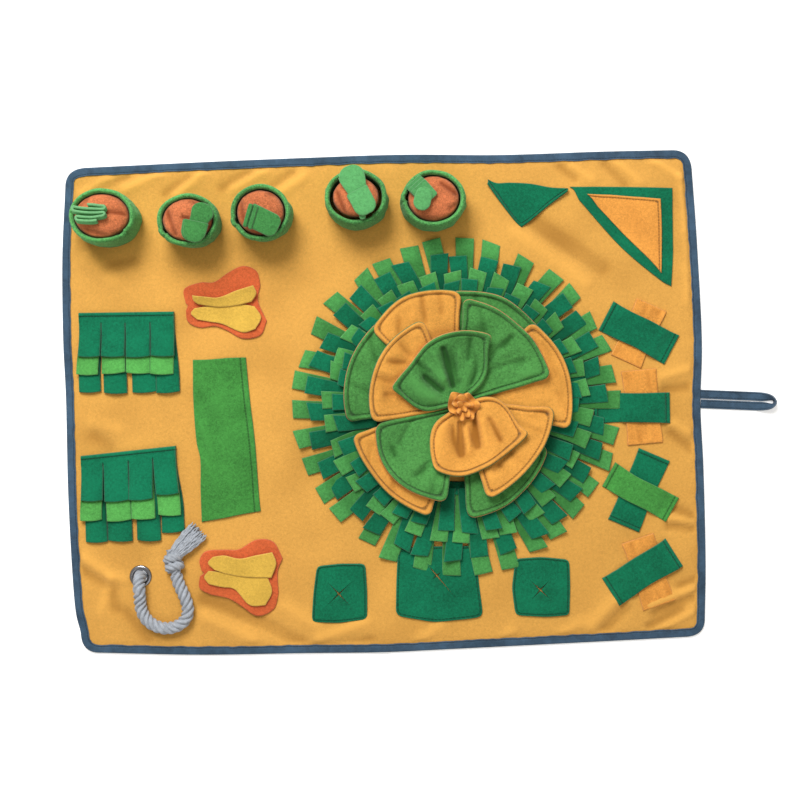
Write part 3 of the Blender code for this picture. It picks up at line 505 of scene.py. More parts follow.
def dress(thing: bpy.types.Object, nodes: Sequence[str]) -> bpy.types.Object:
    """Lets a piece ride on the mat and stand for its CAD nodes, which it hides.

    Args:
        thing: the piece.
        nodes: the CAD nodes that it stands for.

    Returns:
        The piece.
    """
    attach(thing, "root")
    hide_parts(*nodes)
    LOG.info("%s: %d faces", thing.name, len(thing.data.polygons))
    return thing


# ---------------------------------------------------------------------------------------------------------
# Shaders

Number = Union[float, int, "Value"]


class Value:
    """A number that varies over a surface: a shader socket with arithmetic."""

    def __init__(self, shade: "Shade", socket: bpy.types.NodeSocket) -> None:
        """Wraps a socket of a shade's material."""
        self.shade, self.socket = shade, socket

    def _math(self, operation: str, first: Number, second: Number) -> "Value":
        """A Math node on two numbers."""
        node = self.shade.node("ShaderNodeMath", {"operation": operation}, {0: first, 1: second})
        return Value(self.shade, node.outputs[0])

    def __add__(self, other: Number) -> "Value":
        """The sum."""
        return self._math("ADD", self, other)

    __radd__ = __add__

    def __sub__(self, other: Number) -> "Value":
        """The difference."""
        return self._math("SUBTRACT", self, other)

    def __rsub__(self, other: Number) -> "Value":
        """The reflected difference."""
        return self._math("SUBTRACT", other, self)

    def __mul__(self, other: Number) -> "Value":
        """The product."""
        return self._math("MULTIPLY", self, other)

    __rmul__ = __mul__

    def __truediv__(self, other: Number) -> "Value":
        """The quotient."""
        return self._math("DIVIDE", self, other)

    def __abs__(self) -> "Value":
        """The size."""
        return self._math("ABSOLUTE", self, 0.0)

    def part(self) -> "Value":
        """The part after the point, which repeats from 0 to 1."""
        return self._math("FRACT", self, 0.0)

    def step(self, low: float, high: float) -> "Value":
        """A soft step from 0 at one value to 1 at another, either way round."""
        settings = {"interpolation_type": "SMOOTHSTEP"}
        if low < high:
            inputs = {"Value": self, "From Min": low, "From Max": high, "To Min": 0.0, "To Max": 1.0}
        else:
            inputs = {"Value": self, "From Min": high, "From Max": low, "To Min": 1.0, "To Max": 0.0}
        return Value(self.shade, self.shade.node("ShaderNodeMapRange", settings, inputs).outputs["Result"])


Colour = Union[tuple[float, float, float], bpy.types.NodeSocket]


class Shade:
    """One material in the making, with its nodes."""

    def __init__(self, name: str) -> None:
        """Starts a material with one Principled shader."""
        self.material = bpy.data.materials.new(name)
        self.material.use_nodes = True
        self.tree = self.material.node_tree
        self.shader = self.tree.nodes["Principled BSDF"]
        place = self.node("ShaderNodeTexCoord", {}, {})
        self.object_place = place.outputs["Object"]
        self.uv_place = self.node("ShaderNodeUVMap", {"uv_map": "Lie"}, {}).outputs["UV"]

    def node(self, kind: str, settings: dict, inputs: dict) -> bpy.types.Node:
        """Any node.

        Args:
            kind: its type.
            settings: its own settings, set first.
            inputs: values or links of its sockets, by name or place.

        Returns:
            The node.
        """
        node = self.tree.nodes.new(kind)
        for key, value in settings.items():
            setattr(node, key, value)
        for key, value in inputs.items():
            self.plug(node.inputs[key], value)
        return node

    def plug(self, socket: bpy.types.NodeSocket, value: object) -> None:
        """Links a socket, or gives it a number or a colour."""
        value = value.socket if isinstance(value, Value) else value
        if isinstance(value, bpy.types.NodeSocket):
            self.tree.links.new(value, socket)
        elif isinstance(value, tuple) and len(value) == 3 and socket.type == "RGBA":
            socket.default_value = (*value, 1.0)
        else:
            socket.default_value = value

    def lie(self) -> tuple[Value, Value, Value]:
        """The piece's own distances in metres: along its nearest edge, in from it, and in from a sewn one."""
        apart = self.node("ShaderNodeSeparateXYZ", {}, {0: self.uv_place})
        seam = self.node("ShaderNodeAttribute", {"attribute_name": "seam"}, {})
        return Value(self, apart.outputs[0]), Value(self, apart.outputs[1]), Value(self, seam.outputs["Fac"])

    def deep(self) -> Value:
        """How much painted shade each point takes, with some random tone: from -1, a painted highlight on a
        ridge, to 1.
        """
        return Value(self, self.node("ShaderNodeAttribute", {"attribute_name": "deep"}, {}).outputs["Fac"])

    def noise(self, size: float, detail: float = 2.0, rough: float = 0.5, warp: float = 0.0,
              place: Optional[bpy.types.NodeSocket] = None) -> Value:
        """Cloudy noise from 0 to 1.

        Args:
            size: the clouds' size in millimetres.
            detail: how many finer layers it has.
            rough: how strong they are.
            warp: how far it is bent by itself.
            place: where it is read, or None for the object's own place.

        Returns:
            The noise.
        """
        inputs = {"Vector": place or self.object_place, "Scale": 1 / (size * MM), "Detail": detail,
                  "Roughness": rough, "Distortion": warp}
        return Value(self, self.node("ShaderNodeTexNoise", {}, inputs).outputs[0])

    def stretched(self, place: bpy.types.NodeSocket, x: float, y: float) -> bpy.types.NodeSocket:
        """A place with its first two directions scaled."""
        settings = {"operation": "MULTIPLY"}
        return self.node("ShaderNodeVectorMath", settings, {0: place, 1: (x, y, 1.0)}).outputs[0]

    def mix(self, factor: Number, first: Colour, second: Colour) -> bpy.types.NodeSocket:
        """A colour between two, by a factor that is held between 0 and 1."""
        settings = {"data_type": "RGBA", "clamp_factor": True}
        return self.node("ShaderNodeMix", settings, {0: factor, 6: first, 7: second}).outputs[2]

    def tone(self, *layers: tuple[Value, float]) -> Value:
        """A tone about 0.5: noises, each less its own middle and times how strong it is."""
        first, *rest = [(noise - 0.5) * strength for noise, strength in layers]
        return sum(rest, first) + 0.5

    def stitches(self, along: Value, pitch: float, bare: float, full: float) -> Value:
        """A row of stitches: 1 on each of them and 0 between two.

        Args:
            along: the distance along the row in metres.
            pitch: from one stitch to the next in millimetres.
            bare: how far off a stitch's middle there is no thread, as a share of the pitch.
            full: the share up to which there is only thread.

        Returns:
            The thread's strength.
        """
        return abs((along / (pitch * MM)).part() - 0.5).step(bare, full)

    def bump(self, height: Value, strength: float, distance: float) -> bpy.types.NodeSocket:
        """A surface direction bent by a height, which is times a distance in millimetres."""
        inputs = {"Strength": strength, "Distance": distance * MM, "Height": height}
        return self.node("ShaderNodeBump", {}, inputs).outputs[0]

    def finish(self, colour: Colour, roughness: Number, normal: Optional[bpy.types.NodeSocket] = None,
               **constants: float) -> bpy.types.Material:
        """Sets the shader.

        Args:
            colour: its base colour.
            roughness: its roughness.
            normal: its surface direction.
            constants: more sockets by name, with spaces as underscores.

        Returns:
            The material.
        """
        self.plug(self.shader.inputs["Base Color"], colour)
        self.plug(self.shader.inputs["Roughness"], roughness)
        if normal is not None:
            self.plug(self.shader.inputs["Normal"], normal)
        for key, value in constants.items():
            self.plug(self.shader.inputs[key.replace("_", " ")], value)
        return self.material


def linear(red: float, green: float, blue: float) -> tuple[float, float, float]:
    """A colour read from 0 to 255, as the linear colour that a shader takes: ((c + 0.055) / 1.055)
    to the power 2.4, or c / 12.92 for the darkest."""
    shares = [value / 255 for value in (red, green, blue)]
    return tuple(((c + 0.055) / 1.055) ** 2.4 if c > 0.04045 else c / 12.92 for c in shares)


def scaled(colour: tuple[float, float, float], by: float) -> tuple[float, float, float]:
    """A colour made lighter or darker."""
    return tuple(min(1.0, channel * by) for channel in colour)


def deepened(colour: tuple[float, float, float]) -> tuple[float, float, float]:
    """A cloth's colour as painted shade in a fold, darker and fuller: the linear colour to the power 1.3, by
    0.45.
    """
    return tuple(0.45 * channel**1.3 for channel in colour)


def paled(colour: tuple[float, float, float], by: float) -> tuple[float, float, float]:
    """A colour moved towards white by a share."""
    return tuple(channel + (1 - channel) * by for channel in colour)


@dataclass(frozen=True)
class Fleece:
    """Brushed fleece: a fine nap over soft tufts, paler where it is worn, darker in its seams, with painted
    shade and highlight in its folds and a painted highlight along its cut edges.
    """

    name: str
    colour: tuple[float, float, float]
    # The sizes of the nap, the tufts and the worn places in mm, and how strong each is in the tone
    nap: float = 0.9
    tuft: float = 2.6
    worn: float = 60.0
    naps: float = 1.5
    tufts: float = 1.7
    wear: float = 1.1
    contrast: float = 0.34
    # How far painted shade darkens a fold, a painted highlight pales a ridge, and how much paler that gets
    fold_shade: float = 0.85
    ridge_highlight: float = 0.7
    ridge_highlight_by: float = 1.35
    # How strong the painted highlight along the cut edge is, its width in mm and how pale it is
    edge_highlight: float = 0.18
    edge_wide: float = 1.0
    edge_pale: float = 0.35
    # The stitch line: its distance from a sewn edge in mm, its half width, pitch, tone, strength and groove
    seam: float = 0.0
    seam_half: float = 1.2
    pitch: float = 3.3
    thread: float = 0.25
    seam_dark: float = 0.6
    seam_groove: float = 1.1
    relief: float = 0.9

    def make(self) -> bpy.types.Material:
        """The material: tufts mix a darker and a paler tone and the nap adds its grain. Painted shade darkens
        the colour in folds and under cloth that lies over it, and a painted highlight pales it on ridges. A
        painted highlight lies along the cut edge, and stitches lie in a dark line at the seam."""
        shade = Shade(self.name)
        nap = shade.noise(self.nap, 3.0, 0.7, 0.3)
        tuft = shade.noise(self.tuft, 2.0, 0.55, 0.8)
        worn = shade.noise(self.worn, 2.0, 0.5, 0.4)
        tone = shade.tone((tuft, self.tufts), (nap, self.naps), (worn, self.wear))
        dark, pale = scaled(self.colour, 1 - self.contrast), scaled(self.colour, 1 + self.contrast)
        colour = shade.mix(tone, dark, pale)
        # Painted shade in folds and under overlying cloth and a painted highlight on ridges, broken up by the
        # tufts
        deep = shade.deep() + (tuft - 0.5) * 0.12
        colour = shade.mix(deep * self.fold_shade, colour, deepened(self.colour))
        colour = shade.mix(deep * -self.ridge_highlight, colour, scaled(self.colour, self.ridge_highlight_by))
        along, inward, seam = shade.lie()
        height = tuft * 0.5 + nap * 0.6
        # A painted highlight along the cut edge, where the fuzz catches the light
        if self.edge_highlight:
            cut = inward.step(self.edge_wide * MM, 0.1 * MM) * (nap * 0.8 + 0.4) * self.edge_highlight
            colour = shade.mix(cut, colour, paled(self.colour, self.edge_pale))
        if self.seam:
            line = abs(seam - self.seam * MM + (tuft - 0.5) * (0.6 * MM)).step(self.seam_half * MM, 0.1 * MM)
            dash = shade.stitches(along, self.pitch, 0.40, 0.30)
            strength = line * (dash * 0.5 + 0.5) * self.seam_dark
            colour = shade.mix(strength, colour, scaled(self.colour, self.thread))
            height = height - line * (dash * 0.6 + 0.4) * self.seam_groove
        normal = shade.bump(height, self.relief, 1.0)
        return shade.finish(colour, 0.95, normal, Sheen_Weight=0.12, Sheen_Roughness=0.5,
                            Specular_IOR_Level=0.12)


@dataclass(frozen=True)
class Tape:
    """Woven tape: fine slanting ribs with pale flecks, worn along its edges, and a line of stitches."""

    name: str
    colour: tuple[float, float, float]
    # The ribs' width in mm and slant, and how much darker and paler the tones get
    rib: float = 1.1
    slant: float = 1.2
    dark: float = 0.62
    pale: float = 1.5
    # The stitch line: its distance from the edge in mm, its half width, pitch and tone
    seam: float = 1.7
    seam_half: float = 0.6
    pitch: float = 3.4
    thread: float = 0.35

    def make(self) -> bpy.types.Material:
        """The material: ribs are a repeating slope of the sum of the two distances, broken by noise."""
        shade = Shade(self.name)
        along, inward, _ = shade.lie()
        fleck, mottle = shade.noise(0.9, 3.0, 0.7), shade.noise(7.0, 2.0, 0.5, 0.5)
        broad = shade.noise(38.0, 2.0, 0.5, 0.4)
        rib = abs(((along + inward * self.slant) / (self.rib * MM) + (fleck - 0.5) * 0.7).part() - 0.5) * 2
        tone = rib * 0.35 + (fleck - 0.5) * 1.5 + (mottle - 0.5) * 1.1 + (broad - 0.5) * 1.4 + 0.4
        colour = shade.mix(tone, scaled(self.colour, self.dark), scaled(self.colour, self.pale))
        worn = inward.step(1.0 * MM, 0.0) * 0.4
        colour = shade.mix(worn * fleck, colour, paled(self.colour, 0.28))
        line = abs(inward - self.seam * MM).step(self.seam_half * MM, 0.1 * MM)
        dash = shade.stitches(along, self.pitch, 0.42, 0.34)
        colour = shade.mix(line * (dash * 0.6 + 0.25), colour, scaled(self.colour, self.thread))
        normal = shade.bump(rib * 0.4 + fleck * 0.6 - line * 1.2, 0.5, 0.5)
        return shade.finish(colour, 0.85, normal, Sheen_Weight=0.1, Specular_IOR_Level=0.25)


@dataclass(frozen=True)
class Cotton:
    """Twisted cotton: fine fibres that run along each strand, with slow changes of tone."""

    name: str
    colour: tuple[float, float, float]
    dark: float = 0.52
    pale: float = 1.26

    def make(self) -> bpy.types.Material:
        """The material: noise stretched along the strand by its own two distances, and cloudy mottle."""
        shade = Shade(self.name)
        fibre = shade.noise(1.0, 3.0, 0.6, 0.2, shade.stretched(shade.uv_place, 2.2, 0.16))
        mottle, fluff = shade.noise(5.0, 2.0, 0.5, 0.5), shade.noise(0.7, 2.0, 0.7)
        tone = shade.tone((fibre, 1.8), (mottle, 0.9), (fluff, 0.5))
        colour = shade.mix(tone, scaled(self.colour, self.dark), scaled(self.colour, self.pale))
        normal = shade.bump(fibre * 0.8 + fluff * 0.4, 0.6, 0.6)
        return shade.finish(colour, 0.9, normal, Sheen_Weight=0.2, Specular_IOR_Level=0.2)


@dataclass(frozen=True)
class Chrome:
    """Bright plated metal with faint scratches."""

    name: str
    colour: tuple[float, float, float] = (0.30, 0.30, 0.32)

    def make(self) -> bpy.types.Material:
        """The material: roughness and a slight bump follow fine and broad noise."""
        shade = Shade(self.name)
        smear, scratch = shade.noise(4.0, 2.0, 0.5, 0.5), shade.noise(0.8, 3.0, 0.7)
        roughness = smear * 0.18 + scratch * 0.10 + 0.10
        colour = shade.mix(smear, scaled(self.colour, 0.9), scaled(self.colour, 1.1))
        return shade.finish(colour, roughness, shade.bump(scratch, 0.08, 0.2), Metallic=1.0)


DARK_GREEN = linear(14, 112, 78)
STRAP_ORANGE = linear(228, 155, 70)
FINISHES = {
    "gold": Fleece("golden_fleece_cloth", linear(220, 163, 78), tuft=3.0, contrast=0.13),
    "tape": Tape("blue_tape_weave", linear(56, 79, 100)),
    "pot": Fleece("pot_fleece_cloth", linear(84, 155, 84), tuft=1.8, contrast=0.5, edge_highlight=0.0,
                  relief=1.0, tufts=2.8),
    "carrot": Fleece("carrot_plush_cloth", linear(196, 112, 70), nap=0.8, tuft=2.2, contrast=0.46,
                     edge_highlight=0.0, relief=1.0, tufts=1.6),
    "leaf": Fleece("leaf_fleece_cloth", linear(92, 166, 100), contrast=0.24, edge_highlight=0.25),
    # The leaf colour darkened, as painted shade for leaf strips that lie in shade
    "leaf_deep": Fleece("leaf_deep_cloth", linear(66, 134, 70), contrast=0.34, edge_highlight=0.3),
    "dark": Fleece("dark_green_cloth", DARK_GREEN),
    "dark_sewn": Fleece("dark_green_hemmed", DARK_GREEN, seam=4.6),
    "dark_edged": Fleece("dark_green_overcast", DARK_GREEN, seam=2.4),
    "light": Fleece("light_green_cloth", linear(86, 166, 80)),
    "light_sewn": Fleece("light_green_hemmed", linear(70, 146, 66), seam=4.6),
    "light_tunnel": Fleece("light_green_seamed", linear(66, 139, 62), seam=6.4),
    "light_fringe": Fleece("light_green_fringe", linear(78, 154, 80)),
    "petal_green": Fleece("petal_green_cloth", linear(76, 140, 70), contrast=0.42, seam=5.4),
    "petal_orange": Fleece("petal_orange_cloth", linear(220, 156, 71), contrast=0.22, seam=5.4),
    "orange": Fleece("strap_orange_cloth", STRAP_ORANGE, contrast=0.22, seam=3.6),
    "orange_plain": Fleece("strap_orange_plain", STRAP_ORANGE, contrast=0.24),
    "coral": Fleece("coral_cloth", linear(206, 98, 55), contrast=0.26),
    "yellow": Fleece("yellow_cloth", linear(216, 175, 74), contrast=0.18),
    "cotton": Cotton("blue_grey_cotton", linear(176, 182, 191)),
    "chrome": Chrome("plated_metal"),
}


class Finishes:
    """The materials, each made when it is first asked for."""

    def __init__(self) -> None:
        """Starts with none made."""
        self.made: dict[str, bpy.types.Material] = {}

    def get(self, *names: str) -> list[bpy.types.Material]:
        """The materials of those names."""
        for name in names:
            if name not in self.made:
                self.made[name] = FINISHES[name].make()
        return [self.made[name] for name in names]


# ---------------------------------------------------------------------------------------------------------
# Studio


@dataclass
class Studio:
    """The camera over the mat, a white floor and soft light from above the cups."""

    camera_place: tuple[float, float, float] = (0.017, 0.0011, 1.5)
    lens: float = 59.7
    sensor: float = 36.0
    turn: float = -1.9
    floor_half: float = 6.0
    # Each light's name, place, side and power in watts
    lights: tuple = (("key", (-0.50, 1.35, 1.75), 1.0, 50.0), ("fill", (0.6, -1.6, 2.6), 2.4, 12.0))
    sky: tuple[float, float, float, float] = (1.0, 0.95, 0.87, 1.0)
    sky_strength: float = 0.42

    def build(self) -> None:
        """Makes the camera, the floor, the lights and the world."""
        self.make_camera()
        self.make_floor()
        for light in self.lights:
            self.make_light(*light)
        world = bpy.data.worlds.new("studio")
        world.use_nodes = True
        background = world.node_tree.nodes["Background"]
        background.inputs["Color"].default_value = self.sky
        background.inputs["Strength"].default_value = self.sky_strength
        bpy.context.scene.world = world
        settings = bpy.context.scene.view_settings
        settings.view_transform = "Standard"
        settings.look = "None"
        settings.exposure = 0.0

    def make_camera(self) -> None:
        """The camera looks straight down and is turned a little about its own line of sight."""
        camera = bpy.data.cameras.new("camera")
        camera.lens, camera.sensor_width = self.lens, self.sensor
        camera.sensor_fit = "HORIZONTAL"
        thing = bpy.data.objects.new("camera", camera)
        turn = Matrix.Rotation(math.radians(self.turn), 4, "Z")
        thing.matrix_world = Matrix.Translation(Vector(self.camera_place)) @ turn
        bpy.context.collection.objects.link(thing)
        bpy.context.scene.camera = thing

    def make_floor(self) -> None:
        """A plain white floor just under the mat."""
        half = self.floor_half
        mesh = bpy.data.meshes.new("floor")
        corners = [(-half, -half, 0), (half, -half, 0), (half, half, 0), (-half, half, 0)]
        mesh.from_pydata(corners, [], [(0, 1, 2, 3)])
        floor = bpy.data.objects.new("floor", mesh)
        shade = Shade("white_floor")
        place = shade.noise(900.0, 1.0)
        colour = shade.mix(place, (0.93, 0.93, 0.93), (0.96, 0.96, 0.96))
        shade.finish(colour, 0.9, Emission_Color=(1.0, 1.0, 1.0), Emission_Strength=0.35)
        mesh.materials.append(shade.material)
        bpy.context.collection.objects.link(floor)

    @staticmethod
    def make_light(name: str, place: tuple, size: float, power: float) -> None:
        """A square area light that faces the mat's middle.

        Args:
            name: its name.
            place: where it hangs.
            size: its side.
            power: its power in watts.
        """
        light = bpy.data.lights.new(name, "AREA")
        light.shape, light.size, light.energy = "SQUARE", size, power
        thing = bpy.data.objects.new(name, light)
        thing.location = place
        thing.rotation_euler = (Vector((0, 0, 0)) - Vector(place)).to_track_quat("-Z", "Y").to_euler()
        bpy.context.collection.objects.link(thing)


# ---------------------------------------------------------------------------------------------------------
# Pull rope


@dataclass
class PullRope:
    """A four-strand rope that rises through an eyelet, with a knot and a frayed end."""

    finishes: Finishes
    # The eyelet's bore, its rim's radius and its top
    hole: float = 7.5
    rim: float = 12.6
    top: float = 5.0
    # The rope's radius, its strands' own and how far out they lie, and the length of one full turn
    radius: float = 7.0
    strand: float = 3.2
    strand_out: float = 3.9
    lay: float = 30.0
    # The knot: its heading, its winding's first and last turn, run and its length, half width and height,
    # lean, the scale of its rope, and the run and scale of the rope in its middle
    knot_heading: float = 100.0
    knot_turns: tuple[float, float] = (-0.30, 1.80)
    knot_run: tuple[float, float] = (4.0, 19.0)
    knot_half: tuple[float, float] = (6.0, 5.4)
    knot_lean: float = 2.4
    knot_scale: float = 0.78
    core_run: tuple[float, float] = (-3.0, 29.0)
    core_scale: float = 0.86
    # The frayed end: where it starts beyond the rope's last point, along the knot and then in x and y, its
    # first and last heading, how many yarns, their least and most length, and how far apart their grain is
    tassel_head: tuple[float, float, float] = (21.5, 3.2, 0.5)
    tassel_headings: tuple[float, float] = (66.0, 43.0)
    yarns: int = 96
    yarn_long: tuple[float, float] = (30.0, 41.0)
    yarn_grain: float = 0.007
    # By the distance along it, the bundle's half width, half height and level; by the share, a yarn's radius
    bundle_wide: tuple = ((0, 5.6), (5, 8.0), (18, 10.6), (40, 13.0))
    bundle_high: tuple = ((0, 5.0), (8, 5.4), (25, 4.8), (40, 3.8))
    bundle_level: tuple = ((0, 10.5), (14, 9.6), (40, 8.0))
    yarn_thick: tuple = ((0, 1.35), (0.8, 1.15), (1, 0.5))
    route: tuple = (
        (-282, -188, 1.0), (-282, -188, 5.5), (-282, -189.5, 10), (-282, -194, 13.6), (-282, -201, 14.6),
        (-282, -209, 12.6), (-282, -217, 10.9), (-280.5, -226, 10.5), (-276, -235, 10.5), (-268, -242, 10.5),
        (-257, -246, 10.5), (-246, -245.5, 10.5), (-236, -241, 10.5), (-230, -233, 10.5),
        (-229, -223, 10.5), (-231.5, -213, 10.5), (-235.5, -203, 10.5), (-239, -194, 10.5),
        (-240.5, -186.5, 10.5),
    )

    def build(self) -> None:
        """Makes the rope, the knot, the frayed end and the eyelet."""
        path = smooth(np.array(self.route, float), 1.0)
        level = np.abs(unit(np.gradient(path, axis=0))[:, 2:])
        guide = level * np.array([1.0, 0, 0]) + (1 - level) * UP
        rope = Form()
        rope.ring(*self.twisted(path, guide, 1.0))
        rope = dress(rope.put("pull_rope", self.finishes.get("cotton")), ["rope"])
        knot = dress(self.knot(path[-1]), ["rope_knot"])
        tassel = dress(self.tassel(path[-1]), ["rope_tassel"])
        dress(self.make_eyelet(), ["eyelet"])

    def twisted(self, path: Array, guide: Array, scale: float, sides: int = 42) -> tuple[Array, Array]:
        """Rings of a four-strand rope along a path: the outer edge of four circles set round the path,
        turned a full turn in each lay.

        Args:
            path: its centreline.
            guide: a direction at each point that isn't along the path.
            scale: its size.
            sides: points round each ring.

        Returns:
            The rings and what the shaders read there, across and along the strands.
        """
        way = unit(np.gradient(path, axis=0))
        side = unit(np.cross(way, guide))
        other = np.cross(way, side)
        far = lengths(path)
        turn = TAU * np.arange(sides) / sides
        off = (turn + TAU / 8) % (TAU / 4) - TAU / 8
        reach = self.strand_out * np.cos(off) + np.sqrt(self.strand**2 - (self.strand_out * np.sin(off)) ** 2)
        angle = turn[None] + TAU * far[:, None] / (self.lay * scale)
        rings = path[:, None] + scale * reach[None, :, None] * (
            np.cos(angle)[..., None] * side[:, None] + np.sin(angle)[..., None] * other[:, None]
        )
        return rings, mark(turn * self.radius * scale, far[:, None])

    def knot(self, start: Array) -> bpy.types.Object:
        """The knot: the rope wound twice round its own line, flattened, over a filled middle.

        Args:
            start: the rope's last point.

        Returns:
            The object.
        """
        way, side = level_axes(self.knot_heading)
        first, last = self.knot_turns
        turn = np.linspace(first * TAU, last * TAU, 150)
        share = (turn - turn[0]) / (turn[-1] - turn[0])
        (near, long), (wide, high) = self.knot_run, self.knot_half
        run = near + long * share + self.knot_lean * np.sin(turn + 0.8)
        path = start + way * run[:, None] + side * (wide * np.cos(turn))[:, None]
        path += UP * (high * np.sin(turn))[:, None]
        form = Form()
        form.ring(*self.twisted(path, np.broadcast_to(way, path.shape), self.knot_scale, 36))
        middle = start + way * np.linspace(*self.core_run, 20)[:, None]
        form.ring(*self.twisted(middle, np.broadcast_to(UP, middle.shape), self.core_scale, 30))
        return form.put("rope_overhand_knot", self.finishes.get("cotton"))

    def tassel(self, start: Array) -> bpy.types.Object:
        """The frayed end: wavy yarns that spread from the knot, each a thin tube that tapers, its place in
        the bundle kept while the bundle bends and widens.

        Args:
            start: the rope's last point.

        Returns:
            The object.
        """
        chance = np.random.default_rng(5)
        count, points, sides = self.yarns, 26, 6
        knot_way, _ = level_axes(self.knot_heading)
        beyond, *off = self.tassel_head
        head = start + knot_way * beyond + np.array([*off, 0.0])
        share = np.linspace(0, 1, points)
        reach = chance.uniform(*self.yarn_long, count)[:, None] * share
        first, last = self.tassel_headings
        bend = np.radians(first + (last - first) * ease(reach, -2, 10))
        way = np.stack([np.cos(bend), np.sin(bend)], axis=-1)
        step = np.diff(reach, axis=1, prepend=0.0)[..., None] * way
        line = head[:2] + np.cumsum(step, axis=1)
        side = np.stack([-way[..., 1], way[..., 0]], axis=-1)
        place = np.sqrt(chance.uniform(0, 1, count))
        turn = chance.uniform(0, TAU, count)
        wide, high = table(self.bundle_wide, reach), table(self.bundle_high, reach)
        wave = chance.uniform(0.2, 0.8, count)[:, None] * np.sin(
            TAU * (reach / chance.uniform(8, 15, count)[:, None] + chance.uniform(0, 1, count)[:, None])
        ) * ease(reach, 3, 16)
        level = (place * np.cos(turn))[:, None] * wide + wave
        z = table(self.bundle_level, reach) + (place * np.sin(turn))[:, None] * high
        path = np.concatenate([line + side * level[..., None], z[..., None] + 0.3 * wave[..., None]], axis=-1)
        thick = table(self.yarn_thick, share)
        spin = TAU * np.arange(sides) / sides
        flat = np.concatenate([side, np.zeros((*side.shape[:2], 1))], axis=-1)
        rings = path[:, :, None] + thick[None, :, None, None] * (
            np.cos(spin)[:, None] * flat[:, :, None] + np.sin(spin)[:, None] * UP
        )
        marks = mark(spin, share[:, None] * 40)
        form = Form()
        for k in range(count):
            form.ring(rings[k], marks + np.array([k * self.yarn_grain, 0.0, 0.0, 0.0]))
        return form.put("frayed_yarns", self.finishes.get("cotton"))

    def make_eyelet(self) -> bpy.types.Object:
        """The eyelet: a closed profile turned round a vertical line, a rolled rim over a barrel and a flat
        flange below."""
        bore, rim, top = self.hole, self.rim, self.top
        roll = np.radians(np.arange(180, -1, -15))
        middle, half = (bore + rim) / 2, (rim - bore) / 2
        crown = np.column_stack([middle + half * np.cos(roll), LEVEL_1 + (top - LEVEL_1) * np.sin(roll)])
        under = [(bore + 1.5, LEVEL_1), (bore + 1.5, 0.8), (rim - 0.3, 0.8), (rim - 0.3, 0), (bore + 0.8, 0),
                 (bore, 0.5)]
        profile = np.concatenate([crown, under])
        turn = TAU * np.arange(72)[:, None] / 72
        rings = around(EYELET, profile[:, 0], turn, profile[:, 1])
        form = Form()
        form.ring(rings, mark(rings[..., 0], rings[..., 1]), closed=True)
        thing = form.put("rope_eyelet", self.finishes.get("chrome"))
        thing.data.set_sharp_from_angle(angle=math.radians(50))
        return thing


# ---------------------------------------------------------------------------------------------------------
# Base cloth, tape and loop


